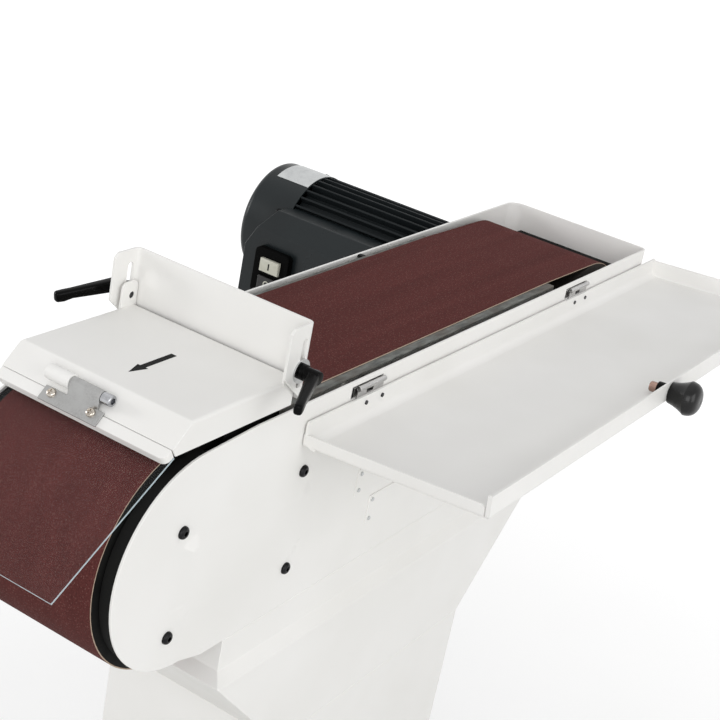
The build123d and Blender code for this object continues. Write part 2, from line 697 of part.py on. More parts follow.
def tongue_face():
    """Section of the hinge plate's tongue, which runs up on to the curl round the pin."""
    reach = (TONGUE_ROOT - PIVOT_ALONG, PLATE_TOP - CURL_LIFT)
    turn = atan2(reach[1], reach[0]) + acos(CURL_R / hypot(*reach))
    out = (cos(turn), sin(turn))
    upper = [(TONGUE_ROOT, PLATE_TOP), (PIVOT_ALONG + CURL_R * out[0], CURL_LIFT + CURL_R * out[1])]
    lower = [(along - PLATE_THICK * out[0], lift - PLATE_THICK * out[1]) for along, lift in reversed(upper)]
    return polygon(*[flap_point(*point) for point in upper + lower])


def lid_back():
    """Back rim of the cover with its bend and the start of the floor."""
    slope = radians(LID_TILT)
    run = (-cos(slope), sin(slope))
    up = (sin(slope), cos(slope))
    corner = (LID_BACK_Y, LID_LOW_Z)
    end = (corner[0] + LID_STUB * run[0], corner[1] + LID_STUB * run[1])
    end_in = (end[0] + LID_SHEET * up[0], end[1] + LID_SHEET * up[1])
    inward = LID_SHEET * (1 + up[0]) / up[1]
    corner_in = (LID_BACK_Y - LID_SHEET, LID_LOW_Z + LID_SHEET * up[1] + inward * run[1])
    section = polygon(corner, (LID_BACK_Y, LID_BACK_TOP), (LID_BACK_Y - LID_SHEET, LID_BACK_TOP), corner_in,
                      end_in, end)
    back = lengthwise(section, LID_X)
    middle = sum(LID_X) / 2
    for place, radius in ((corner_in, LID_BACK_BEND - LID_SHEET), (corner, LID_BACK_BEND)):
        edge = back.edges().filter_by(Axis.X).sort_by_distance((middle, *place))[0]
        back = fillet(edge, radius)
    return fillet(back.edges().filter_by(Axis.Y).group_by(Axis.Z)[-1], LID_BACK_CORNER)


def lid_tray():
    """Floor and rims of the cover, lying flat with its back edge at y = 0."""
    deep = 2 * LID_OUTER_RIM
    tray = block(LID_X, (-LID_REACH, deep), (0, LID_OUTER_RIM))
    tray = fillet(tray.edges().group_by(Axis.Z)[0], LID_BEND)
    inner_x = widened(LID_X, -LID_SHEET)
    hollow = block(inner_x, (-LID_REACH + LID_SHEET, 2 * deep), (LID_SHEET, deep))
    tray -= fillet(hollow.edges().group_by(Axis.Z)[0], LID_BEND - LID_SHEET)
    slit = (-LID_REACH + LID_BEND, -LID_REACH + LID_BEND + LID_SLIT)
    rim_end = (slit[1] + LID_CORNER, LID_SIDE_RIM - LID_CORNER)
    relief = panel(slit, (LID_SHEET, deep)) + panel((slit[0], deep), (LID_SIDE_RIM, deep))
    relief += panel((slit[1], rim_end[0]), (rim_end[1], LID_SIDE_RIM)) - Pos(*rim_end) * Circle(LID_CORNER)
    tray -= lengthwise(relief, (LID_X[0] - CUT, LID_X[0] + LID_BEND))
    tray -= block(widened(LID_X, -LID_BEND), (-LID_STUB, 2 * deep), widened((0, deep), CUT))
    return tray - block(LID_X, (-TOUCH_GAP, 2 * deep), widened((0, deep), CUT))


def make_lid():
    """Belt cover, drawn open, with its hinges and knob."""
    place = Pos(0, LID_BACK_Y, LID_LOW_Z) * Rot(X=-LID_TILT)
    outside = -LID_REACH
    inside = outside + LID_SHEET
    tray = lid_tray()
    stud = rod(KNOB_X, KNOB_UP, KNOB_STUD_R, (outside - KNOB_STUD_LONG, inside))
    save("lid_tray", place * (tray - stud) + lid_back())

    spacer = rod(KNOB_X, KNOB_UP, SPACER_R, (inside, inside + SPACER_LONG))
    spacer += rod(KNOB_X, KNOB_UP, BOLT_END_R, (inside, inside + SPACER_LONG + BOLT_END_LONG))
    save("knob_stud", place * (stud + (spacer - tray)))
    throat = (KNOB_NECK_R + KNOB_R) / 2 - CUT
    shoulder = KNOB_R - 2 * CUT
    bell = make_face([
        Line((KNOB_STUD_R, 0), (KNOB_NECK_R, 0)),
        Spline((KNOB_NECK_R, 0), (throat, KNOB_WIDE_AT / 2), (KNOB_R, KNOB_WIDE_AT)),
        Spline((KNOB_R, KNOB_WIDE_AT), (shoulder, (KNOB_WIDE_AT + KNOB_LONG) / 2 + CUT), (0, KNOB_LONG)),
        Polyline((0, KNOB_LONG), (0, KNOB_STUD_LONG), (KNOB_STUD_R, KNOB_STUD_LONG), (KNOB_STUD_R, 0)),
    ])
    knob = revolve(Plane.XZ * bell, Axis.Z)
    save("lid_knob", place * Pos(KNOB_X, outside, KNOB_UP) * Rot(X=90) * knob)

    fixed = []
    pins = []
    moving = []
    rivets = []
    for x in HINGE_X:
        leaf_x = (x + LEAF_SPAN[0], x + LEAF_SPAN[1])
        pin = bar_x(HINGE_Y, HINGE_Z, HINGE_PIN_R, leaf_x)
        pins.append(pin)
        fixed.append(fixed_leaf(x, leaf_x) - pin)
        moving.append(moving_leaf(x, leaf_x) - bar_x(HINGE_Y, HINGE_Z, HINGE_PIN_R + BEARING_GAP, leaf_x))
        rivet_y = LID_BACK_Y - LID_SHEET
        for offset in RIVET_OFFSETS:
            rivets.append(rod(x + offset, RIVET_Z, RIVET_R, (rivet_y - RIVET_HIGH, rivet_y)))
    save("hinge_leaves", *fixed)
    save("hinge_pins", *pins)
    save("lid_leaves", *moving)
    save("lid_rivets", *rivets)


def fixed_leaf(x, leaf_x):
    """Leaf inside the front plate, with one knuckle that reaches out through the window."""
    knuckle = (x + KNUCKLE_SPAN[0], x + KNUCKLE_SPAN[1])
    leaf_y = (-CASE_IN, -CASE_IN + LEAF)
    tab_z = (HINGE_Z - BARREL_R, HINGE_Z - BARREL_R + LEAF)
    leaf = block(leaf_x, leaf_y, (LEAF_TOP - LEAF_DEEP, tab_z[1]))
    leaf -= block(widened(knuckle, LEAF), widened(leaf_y, CUT), (WINDOW_Z[0], tab_z[0]))
    return leaf + bar_x(HINGE_Y, HINGE_Z, BARREL_R, knuckle) + block(knuckle, (HINGE_Y, leaf_y[1]), tab_z)


def moving_leaf(x, leaf_x):
    """Leaf on the cover's back rim, notched round the fixed knuckle, with a knuckle each side of it."""
    notch = widened((x + KNUCKLE_SPAN[0], x + KNUCKLE_SPAN[1]), KNUCKLE_GAP)
    leaf_y = (LID_BACK_Y, LID_BACK_Y + LEAF)
    leaf = block(leaf_x, leaf_y, (LEAF_TOP - LEAF_DEEP, LEAF_TOP))
    leaf -= block(notch, widened(leaf_y, CUT), (NOTCH_LOW, LEAF_TOP))
    for span in ((leaf_x[0], notch[0]), (notch[1], leaf_x[1])):
        leaf += block(span, leaf_y, (LEAF_TOP - LEAF, HINGE_Z)) + bar_x(HINGE_Y, HINGE_Z, BARREL_R, span)
    return leaf


def terminal_room():
    """Solid form of the terminal box, before the motor is taken out of it."""
    shape = polygon((BOX_FACE_X, BOX_CREASE_Z), (BOX_SHOULDER_X, BOX_TOP_Z), (BOX_BACK_X, BOX_TOP_Z),
                    (BOX_BACK_X, BOX_LOW_Z), (BOX_FACE_X, BOX_LOW_Z))
    lean = polygon((BOX_Y[1], BOX_LEAN_Z), (BOX_LEAN_Y, BOX_TOP_Z), (BOX_Y[1] + CUT, BOX_TOP_Z))
    return across(shape, BOX_Y) - lengthwise(lean, (BOX_FACE_X, BOX_BACK_X))


def make_motor():
    """Flange motor on the rear plate, with the drum on its shaft."""
    x, z = AXLE_SPAN, DRUM_Z
    start_y, end_y = MOTOR_Y
    body_y = (start_y + MOTOR_SPIGOT, end_y)
    seat_y = (CASE_HALF + MOTOR_SEAT_DEEP, body_y[0])
    inside_r = CORE_R - CORE_WALL
    flange = rod(x, z, FLANGE_R, (CASE_HALF, start_y)) + rod(x, z, CORE_R, (start_y, body_y[0]))
    flange -= rod(x, z, MOTOR_SEAT_R, seat_y) + rod(x, z, MOTOR_SEAL_R, (CASE_HALF, body_y[0]))
    bolts = []
    for bolt_x, bolt_z in motor_bolt_places():
        flange -= rod(bolt_x, bolt_z, BOLT_R, (CASE_HALF, start_y))
        shank = rod(bolt_x, bolt_z, BOLT_R, (CASE_IN, start_y))
        hexagon = Pos(bolt_x, bolt_z) * RegularPolygon(BOLT_HEX_R, 6)
        bolts.append(shank + across(hexagon, (CASE_IN - BOLT_HEX_HIGH, CASE_IN)))
    save("motor_flange", flange)
    save("motor_bolts", *bolts)

    room = terminal_room()
    fins = Circle(CORE_R)
    fin_long = FIN_R - CORE_R + FIN_ROOT
    for index in range(FIN_COUNT):
        fins += Rot(Z=index * 360 / FIN_COUNT) * Pos(FIN_R - fin_long / 2, 0) * Rectangle(fin_long, FIN_THICK)
    body = across(Pos(x, z) * fins, body_y) - rod(x, z, inside_r, body_y)
    save("motor_body", body - (room - rod(x, z, CORE_R, BOX_Y)))
    stack_y = (body_y[0] + STACK_INSET[0], end_y - STACK_INSET[1])
    shield_y = (end_y - END_SHIELD, end_y)
    save("stator", ring(x, z, inside_r, STATOR_R, stack_y))
    save("motor_end_shield", ring(x, z, inside_r, MOTOR_SEAT_R, shield_y))
    save("motor_bearings", *[ring(x, z, MOTOR_SEAT_R, SHAFT_R + BEARING_GAP, y) for y in (seat_y, shield_y)])

    cowl = rod(x, z, COWL_R, (end_y, COWL_END))
    cowl = fillet(cowl.edges().sort_by(Axis.Y)[-1], COWL_ROUND)
    hollow = rod(x, z, COWL_R - COWL_WALL, (end_y, COWL_END - COWL_WALL))
    cowl -= fillet(hollow.edges().sort_by(Axis.Y)[-1], COWL_ROUND - COWL_WALL)
    through = (COWL_END - 2 * COWL_WALL, COWL_END + CUT)
    for radius in COWL_SLOTS:
        slots = ring(x, z, radius + COWL_SLOT, radius, through)
        for turn in (0, 60, 120):
            slots -= Pos(x, COWL_END, z) * Rot(Y=turn) * Box(2 * COWL_R, 4 * COWL_ROUND, COWL_SPOKE)
        cowl -= slots
    save("fan_cowl", cowl)
    sector = [(x, z)]
    for turn in LABEL_TURN:
        sector.append((x - 2 * COWL_R * sin(radians(turn)), z + 2 * COWL_R * cos(radians(turn))))
    label = ring(x, z, COWL_R + LABEL_THICK, COWL_R, LABEL_Y)
    save("label_plate", label & across(polygon(*sector), LABEL_Y))

    make_terminal_box(room)

    save("motor_shaft", rod(x, z, SHAFT_R, (DRUM_HUB_START, end_y + SHAFT_PAST)))
    save("rotor_core", ring(x, z, ROTOR_R, SHAFT_R, stack_y))
    fan_y = (end_y + FAN_Y[0], end_y + FAN_Y[1])
    fan = ring(x, z, FAN_HUB_R, SHAFT_R, fan_y) + ring(x, z, FAN_R, SHAFT_R, (fan_y[0], fan_y[0] + FAN_DISC))
    vane_y = fan_y[0] + FAN_DISC + FAN_VANE[1] / 2 - CUT
    for index in range(FAN_VANES):
        turn = Rot(Y=index * 360 / FAN_VANES)
        fan += Pos(x, vane_y, z) * turn * Pos(FAN_R - FAN_VANE[0] / 2 - CUT, 0, 0) * Box(*FAN_VANE)
    save("cooling_fan", fan)

    drum_r = DRUM_R - RUN_GAP
    drum = ring(x, z, drum_r, drum_r - DRUM_RIM, (-HALF_BELT, HALF_BELT))
    drum += ring(x, z, drum_r - DRUM_RIM + CUT, SHAFT_R, DRUM_WEB_Y)
    drum += ring(x, z, DRUM_HUB_R, SHAFT_R, (DRUM_HUB_START, HALF_BELT))
    save("drive_drum", drum)


def make_terminal_box(room):
    """Terminal box with its cable gland, switch and push buttons."""
    x, z = AXLE_SPAN, DRUM_Z
    case = room - rod(x, z, COWL_R + RUN_GAP, (MOTOR_Y[1], COWL_END)) - rod(x, z, CORE_R, BOX_Y)
    case -= block((BOX_FACE_X + BOX_WALL, BOX_BACK_X), (BOX_Y[0] + BOX_WALL, BOX_LEAN_Y - BOX_WALL),
                  (BOX_LOW_Z + BOX_WALL, BOX_CREASE_Z - BOX_WALL))
    gland = Pos(BOX_FACE_X + GLAND_OFFSET[0], BOX_Y[0] + GLAND_OFFSET[1], BOX_LOW_Z)
    case -= gland * Cylinder(GLAND_R, 2 * GLAND_COLLAR_LONG)
    save("terminal_box", case)
    from_top = (Align.CENTER, Align.CENTER, Align.MAX)
    nut = extrude(RegularPolygon(GLAND_NUT_R, 6), -GLAND_NUT_HIGH)
    nut += Cylinder(GLAND_COLLAR_R, GLAND_COLLAR_LONG, align=from_top)
    nut += Pos(0, 0, GLAND_NECK) * Cylinder(GLAND_R, GLAND_NECK, align=from_top)
    save("cable_gland", gland * (nut - Cylinder(GLAND_BORE_R, 4 * GLAND_COLLAR_LONG)))

    face_x = BOX_FACE_X - SWITCH_PROUD
    wide, above, below = SWITCH_MARGIN
    frame = block((face_x, BOX_FACE_X), widened(BUTTON_Y, wide), (STOP_Z[0] - below, START_Z[1] + above))
    frame = fillet(frame.edges().filter_by(Axis.X), SWITCH_CORNER)
    for name, span in (("start_button", START_Z), ("stop_button", STOP_Z)):
        frame -= block((face_x - CUT, BOX_FACE_X - CUT), widened(BUTTON_Y, RUN_GAP), widened(span, RUN_GAP))
        cap = block((face_x - BUTTON_PROUD, face_x + BUTTON_DEEP), BUTTON_Y, span)
        save(name, fillet(cap.edges().group_by(Axis.X)[0], BUTTON_ROUND))
    save("switch_housing", frame)


os.makedirs("parts", exist_ok=True)
make_stand()
make_casing()
make_belt_track()
make_contact_wheel()
make_hood()
make_work_stop()
make_shield()
make_lid()
make_motor()
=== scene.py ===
"""Belt sanding machine: finishes, modelled fittings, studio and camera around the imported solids.

Sizes are written in millimetres and become metres, the scene's own unit, through MM; the studio's are in
metres. Places are measured as on the real machine: x along the belt from the contact wheel's axis, y across
it, z up from the grinding face.
"""

import json
import logging
import math
from collections.abc import Callable, Iterator
from contextlib import contextmanager
from dataclasses import dataclass, field
from enum import Enum

import bmesh
import bpy
from mathutils import Matrix, Vector

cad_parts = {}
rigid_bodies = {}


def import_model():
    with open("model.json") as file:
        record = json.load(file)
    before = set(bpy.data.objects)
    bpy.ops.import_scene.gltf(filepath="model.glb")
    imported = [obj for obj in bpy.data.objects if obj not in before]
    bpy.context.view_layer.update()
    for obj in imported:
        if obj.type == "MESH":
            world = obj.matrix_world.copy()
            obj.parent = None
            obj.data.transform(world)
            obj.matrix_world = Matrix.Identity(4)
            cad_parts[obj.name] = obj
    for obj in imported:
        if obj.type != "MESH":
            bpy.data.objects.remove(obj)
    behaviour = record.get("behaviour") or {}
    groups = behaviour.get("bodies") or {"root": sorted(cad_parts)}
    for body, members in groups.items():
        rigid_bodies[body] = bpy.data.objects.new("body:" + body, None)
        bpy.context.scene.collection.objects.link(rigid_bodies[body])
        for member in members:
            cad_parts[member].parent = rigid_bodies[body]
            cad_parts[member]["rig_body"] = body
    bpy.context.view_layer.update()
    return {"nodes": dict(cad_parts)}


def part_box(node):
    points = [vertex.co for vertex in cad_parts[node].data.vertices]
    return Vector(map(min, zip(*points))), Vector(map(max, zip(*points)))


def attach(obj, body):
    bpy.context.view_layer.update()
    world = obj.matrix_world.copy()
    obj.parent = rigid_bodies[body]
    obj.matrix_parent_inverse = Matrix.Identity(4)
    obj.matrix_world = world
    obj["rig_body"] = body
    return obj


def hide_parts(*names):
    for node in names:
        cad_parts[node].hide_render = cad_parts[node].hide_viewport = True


for start_object in list(bpy.data.objects):
    bpy.data.objects.remove(start_object)
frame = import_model()

MM = 0.001
# Points nearer than this are one point.
TOUCH = 0.01 * MM
# A face looks along a direction when its normal's share in it is above this.
FACING = 0.9
# Sides of a turned piece.
TURNED_SIDES = 40
# Most of a noise texture's values lie between these two.
NOISE_LOW, NOISE_HIGH = 0.3, 0.7
NOISE_ROUGHNESS = 0.55
# A stretch that leaves a pattern as it is.
EVEN = (1, 1, 1)
LOG = logging.getLogger("belt_sander")

Piece = bpy.types.Object
Tree = bpy.types.NodeTree
Socket = bpy.types.NodeSocket
Spot = tuple[Vector, Vector]
Triple = tuple[float, float, float]


class Body(Enum):
    """Bodies of the machine that a modelled piece can ride on."""

    FRAME = "frame"
    LID = "lid"
    WORK_STOP = "work_stop"
    FRONT_LEVER = "front_clamp_lever"
    REAR_LEVER = "rear_clamp_lever"
    SHIELD = "eye_shield"
    START = "start_switch"
    STOP = "stop_switch"


class Slot(Enum):
    """Material slots of the record."""

    WHITE_PAINT = "white_paint"
    MOTOR_PAINT = "motor_paint"
    ABRASIVE = "abrasive"
    GRAPHITE = "graphite"
    STEEL = "steel"
    ZINC_STEEL = "zinc_steel"
    STAINLESS = "stainless"
    ALUMINIUM = "aluminium"
    CAST_IRON = "cast_iron"
    BLACK_PLASTIC = "black_plastic"
    RUBBER = "rubber"
    CLEAR_PLASTIC = "clear_plastic"
    LABEL_METAL = "label_metal"
    BUTTON_WHITE = "button_white"
    BUTTON_DARK = "button_dark"
    BLACK_ZINC = "black_zinc"


class Drive(Enum):
    """Recess in a screw head."""

    HEX_SOCKET = "hex socket"
    CROSS = "cross"


@dataclass(frozen=True)
class Datum:
    """Where the machine's own zero lies in the frame, in millimetres."""

    wheel_x: float
    belt_top: float

    @classmethod
    def from_frame(cls) -> "Datum":
        """Read the zero from the wheel axle and the belt."""
        low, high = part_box("wheel_axle")
        return cls((low.x + high.x) / 2 / MM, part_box("sanding_belt")[1].z / MM)

    def point(self, x: float, y: float, z: float) -> Vector:
        """Return a place on the machine as a point of the scene."""
        return Vector((x + self.wheel_x, y, z + self.belt_top)) * MM


DATUM = Datum.from_frame()


def linear(code: str) -> tuple[float, float, float, float]:
    """Turn an sRGB hex colour into linear values.

    Args:
        code: Six hex digits.

    Returns:
        Linear red, green, blue and an alpha of one.
    """
    parts = [int(code[i:i + 2], 16) / 255 for i in (0, 2, 4)]
    values = [p / 12.92 if p <= 0.04045 else ((p + 0.055) / 1.055) ** 2.4 for p in parts]
    return values[0], values[1], values[2], 1.0


def per_metre(size: float) -> float:
    """Return the texture scale at which one feature is this many millimetres wide."""
    return 1 / (size * MM)


def add_node(tree: Tree, kind: str, inputs: dict | None = None, **settings: object) -> bpy.types.Node:
    """Add a node with its settings, values and links.

    Args:
        tree: Node tree to add to.
        kind: Node type.
        inputs: Sockets by name or number, each with a value or a socket to link from.
        **settings: Properties of the node.

    Returns:
        The new node.
    """
    node = tree.nodes.new(kind)
    for name, value in settings.items():
        setattr(node, name, value)
    for name, value in (inputs or {}).items():
        if isinstance(value, Socket):
            tree.links.new(value, node.inputs[name])
        else:
            node.inputs[name].default_value = value
    return node


def mottle(tree: Tree, place: Socket, size: float, low: float, high: float, detail: float = 2.0,
           stretch: Triple = EVEN) -> Socket:
    """Spread a soft uneven value over a surface.

    Args:
        tree: Node tree to add to.
        place: Coordinates to read.
        size: Width of one patch in millimetres.
        low: Value in the low patches.
        high: Value in the high patches.
        detail: Finer layers in each patch.
        stretch: Factor on each axis, where less than one draws patches out along it.

    Returns:
        The value's socket.
    """
    drawn_out = add_node(tree, "ShaderNodeMapping", {"Vector": place, "Scale": stretch}).outputs["Vector"]
    noise = add_node(tree, "ShaderNodeTexNoise", {"Vector": drawn_out, "Scale": per_metre(size),
                                                  "Detail": detail, "Roughness": NOISE_ROUGHNESS})
    spread = add_node(tree, "ShaderNodeMapRange", {"Value": noise.outputs["Fac"], "From Min": NOISE_LOW,
                                                   "From Max": NOISE_HIGH, "To Min": low, "To Max": high})
    return spread.outputs["Result"]


@dataclass(frozen=True)
class Finish:
    """A surface finish, made once into a node material.

    In every finish smooth and rough are the ends of its roughness, shine is its specular level, and the
    widths and depths of its patterns are in millimetres.
    """

    name: str
    colour: str

    def material(self) -> bpy.types.Material:
        """Make the finish's material at its first use, and find it again later.

        Returns:
            The material.
        """
        ready = bpy.data.materials.get(self.name)
        if ready:
            return ready
        material = bpy.data.materials.new(self.name)
        material.use_nodes = True
        tree = material.node_tree
        tree.nodes.clear()
        place = add_node(tree, "ShaderNodeTexCoord").outputs["Object"]
        shader = add_node(tree, "ShaderNodeBsdfPrincipled", self.dress(tree, place))
        add_node(tree, "ShaderNodeOutputMaterial", {"Surface": shader.outputs["BSDF"]})
        return material

    def dress(self, tree: Tree, place: Socket) -> dict[str, Socket | float]:
        """Add this finish's own nodes.

        Args:
            tree: Node tree to add to.
            place: Object coordinates.

        Returns:
            The shader's inputs.
        """
        raise NotImplementedError


@dataclass(frozen=True)
class Paint(Finish):
    """Baked coat on sheet or cast metal: an even colour that drifts a little, with a shallow orange peel."""

    shade: str
    drift: float = 140.0
    cloud: float = 30.0
    smooth: float = 0.34
    rough: float = 0.46
    peel: float = 2.4
    peel_depth: float = 0.03
    peel_strength: float = 0.35
    shine: float = 0.5

    def dress(self, tree: Tree, place: Socket) -> dict[str, Socket | float]:
        """Add the drifting tone, the gloss and the orange peel.

        Args:
            tree: Node tree to add to.
            place: Object coordinates.

        Returns:
            The shader's inputs.
        """
        drift = mottle(tree, place, self.drift, 0.0, 1.0)
        tone = add_node(tree, "ShaderNodeMix", {0: drift, 6: linear(self.colour), 7: linear(self.shade)},
                        data_type="RGBA")
        gloss = mottle(tree, place, self.cloud, self.smooth, self.rough)
        peel = mottle(tree, place, self.peel, 0.0, 1.0, detail=1.0)
        bump = add_node(tree, "ShaderNodeBump", {"Height": peel, "Strength": self.peel_strength,
                                                 "Distance": self.peel_depth * MM})
        return {"Base Color": tone.outputs[2], "Roughness": gloss, "Normal": bump.outputs["Normal"],
                "Specular IOR Level": self.shine}


@dataclass(frozen=True)
class AbrasiveCloth(Finish):
    """Resin-bonded oxide grit on cloth: matt, speckled grains, with the bare cloth at the cut edges."""

    dark: str
    bright: str
    cloth: str
    grain: float = 1.1
    grain_depth: float = 0.25
    grain_strength: float = 0.6
    spark_reach: tuple[float, float] = (0.16, 0.3)
    spark_share: float = 0.46
    run: float = 18.0
    run_tone: tuple[float, float] = (0.9, 1.08)
    run_stretch: Triple = (0.04, 1, 0.3)
    edge_slope: float = 0.7
    smooth: float = 0.72
    rough: float = 0.95
    shine: float = 0.08

    def dress(self, tree: Tree, place: Socket) -> dict[str, Socket | float]:
        """Add the grit, the run marks along the belt and the cloth edge.

        Args:
            tree: Node tree to add to.
            place: Object coordinates.

        Returns:
            The shader's inputs.
        """
        # The real grit is about 0.2 mm; it is drawn coarser, so that it shows.
        grit = mottle(tree, place, self.grain, 0.0, 1.0, detail=3.0)
        body = add_node(tree, "ShaderNodeMix", {0: grit, 6: linear(self.dark), 7: linear(self.colour)},
                        data_type="RGBA")
        cells = add_node(tree, "ShaderNodeTexVoronoi", {"Vector": place, "Scale": per_metre(2 * self.grain)})
        inner, outer = self.spark_reach
        spark = add_node(tree, "ShaderNodeMapRange", {"Value": cells.outputs["Distance"], "From Min": inner,
                                                      "From Max": outer, "To Min": self.spark_share,
                                                      "To Max": 0.0})
        lit = add_node(tree, "ShaderNodeMix", {0: spark.outputs["Result"], 6: body.outputs[2],
                                               7: linear(self.bright)}, data_type="RGBA")
        run = mottle(tree, place, self.run, *self.run_tone, stretch=self.run_stretch)
        worn = add_node(tree, "ShaderNodeHueSaturation", {"Color": lit.outputs[2], "Value": run})
        normal = add_node(tree, "ShaderNodeNewGeometry").outputs["True Normal"]
        sideways = add_node(tree, "ShaderNodeSeparateXYZ", {"Vector": normal}).outputs["Y"]
        steep = add_node(tree, "ShaderNodeMath", {0: sideways}, operation="ABSOLUTE").outputs[0]
        edge = add_node(tree, "ShaderNodeMath", {0: steep, 1: self.edge_slope}, operation="GREATER_THAN")
        colour = add_node(tree, "ShaderNodeMix", {0: edge.outputs[0], 6: worn.outputs["Color"],
                                                  7: linear(self.cloth)}, data_type="RGBA")
        rough = mottle(tree, place, self.grain, self.smooth, self.rough)
        bump = add_node(tree, "ShaderNodeBump", {"Height": grit, "Strength": self.grain_strength,
                                                 "Distance": self.grain_depth * MM})
        return {"Base Color": colour.outputs[2], "Roughness": rough, "Normal": bump.outputs["Normal"],
                "Specular IOR Level": self.shine}


@dataclass(frozen=True)
class GraphiteCloth(Finish):
    """Graphite-coated canvas glued to the platen: dark weave, rubbed lighter and browned by dust."""

    rubbed: str
    dust: str
    streak: float = 5.0
    streak_share: float = 0.9
    streak_stretch: Triple = (0.25, 1, 1)
    patch: float = 24.0
    patch_share: tuple[float, float] = (-0.5, 0.8)
    thread: float = 1.6
    thread_depth: float = 0.2
    thread_strength: float = 0.5
    coarser: float = 6.0
    cloud: float = 12.0
    smooth: float = 0.5
    rough: float = 0.8
    shine: float = 0.3

    def dress(self, tree: Tree, place: Socket) -> dict[str, Socket | float]:
        """Add the weave, the rubbed streaks and the dust.

        Args:
            tree: Node tree to add to.
            place: Object coordinates.

        Returns:
            The shader's inputs.
        """
        streak = mottle(tree, place, self.streak, 0.0, self.streak_share, detail=4.0,
                        stretch=self.streak_stretch)
        rub = add_node(tree, "ShaderNodeMix", {0: streak, 6: linear(self.colour), 7: linear(self.rubbed)},
                       data_type="RGBA")
        patch = mottle(tree, place, self.patch, *self.patch_share, detail=4.0)
        dusty = add_node(tree, "ShaderNodeMix", {0: patch, 6: rub.outputs[2], 7: linear(self.dust)},
                         data_type="RGBA", clamp_factor=True)
        # A band of the wave texture is about two threads wide at this scale, so that the weave shows.
        cloth = {"Vector": place, "Scale": per_metre(self.thread) / self.coarser}
        warp, weft = (add_node(tree, "ShaderNodeTexWave", cloth, bands_direction=way) for way in "XY")
        weave = add_node(tree, "ShaderNodeMath", {0: warp.outputs["Fac"], 1: weft.outputs["Fac"]},
                         operation="MULTIPLY")
        bump = add_node(tree, "ShaderNodeBump", {"Height": weave.outputs[0], "Strength": self.thread_strength,
                                                 "Distance": self.thread_depth * MM})
        rough = mottle(tree, place, self.cloud, self.smooth, self.rough)
        return {"Base Color": dusty.outputs[2], "Roughness": rough, "Normal": bump.outputs["Normal"],
                "Specular IOR Level": self.shine}


@dataclass(frozen=True)
class Metal(Finish):
    """Bare or plated metal: streaks left by rolling, brushing or turning, and a slightly clouded gloss."""

    shade: str
    smooth: float
    rough: float
    streak: float = 1.2
    stretch: Triple = (0.04, 1, 1)
    depth: float = 0.01
    strength: float = 0.3
    cloud: float = 14.0

    def dress(self, tree: Tree, place: Socket) -> dict[str, Socket | float]:
        """Add the streaks, the clouding and the gloss.

        Args:
            tree: Node tree to add to.
            place: Object coordinates.

        Returns:
            The shader's inputs.
        """
        lines = mottle(tree, place, self.streak, 0.0, 1.0, detail=3.0, stretch=self.stretch)
        cloud = mottle(tree, place, self.cloud, 0.0, 1.0)
        blend = add_node(tree, "ShaderNodeMath", {0: lines, 1: cloud}, operation="MULTIPLY").outputs[0]
        tone = add_node(tree, "ShaderNodeMix", {0: blend, 6: linear(self.colour), 7: linear(self.shade)},
                        data_type="RGBA")
        gloss = add_node(tree, "ShaderNodeMapRange", {"Value": blend, "To Min": self.smooth,
                                                      "To Max": self.rough})
        bump = add_node(tree, "ShaderNodeBump", {"Height": lines, "Strength": self.strength,
                                                 "Distance": self.depth * MM})
        return {"Base Color": tone.outputs[2], "Roughness": gloss.outputs["Result"],
                "Normal": bump.outputs["Normal"], "Metallic": 1.0}


@dataclass(frozen=True)
class Moulded(Finish):
    """Moulded plastic or rubber: a fine spark-eroded grain with handled, shinier patches."""

    shade: str
    smooth: float
    rough: float
    grain: float = 0.9
    depth: float = 0.04
    strength: float = 0.4
    handled: float = 16.0
    shine: float = 0.15

    def dress(self, tree: Tree, place: Socket) -> dict[str, Socket | float]:
        """Add the grain and the handled patches.

        Args:
            tree: Node tree to add to.
            place: Object coordinates.

        Returns:
            The shader's inputs.
        """
        handled = mottle(tree, place, self.handled, 0.0, 1.0)
        tone = add_node(tree, "ShaderNodeMix", {0: handled, 6: linear(self.colour), 7: linear(self.shade)},
                        data_type="RGBA")
        gloss = add_node(tree, "ShaderNodeMapRange", {"Value": handled, "To Min": self.smooth,
                                                      "To Max": self.rough})
        grain = mottle(tree, place, self.grain, 0.0, 1.0)
        bump = add_node(tree, "ShaderNodeBump", {"Height": grain, "Strength": self.strength,
                                                 "Distance": self.depth * MM})
        return {"Base Color": tone.outputs[2], "Roughness": gloss.outputs["Result"],
                "Normal": bump.outputs["Normal"], "Specular IOR Level": self.shine}


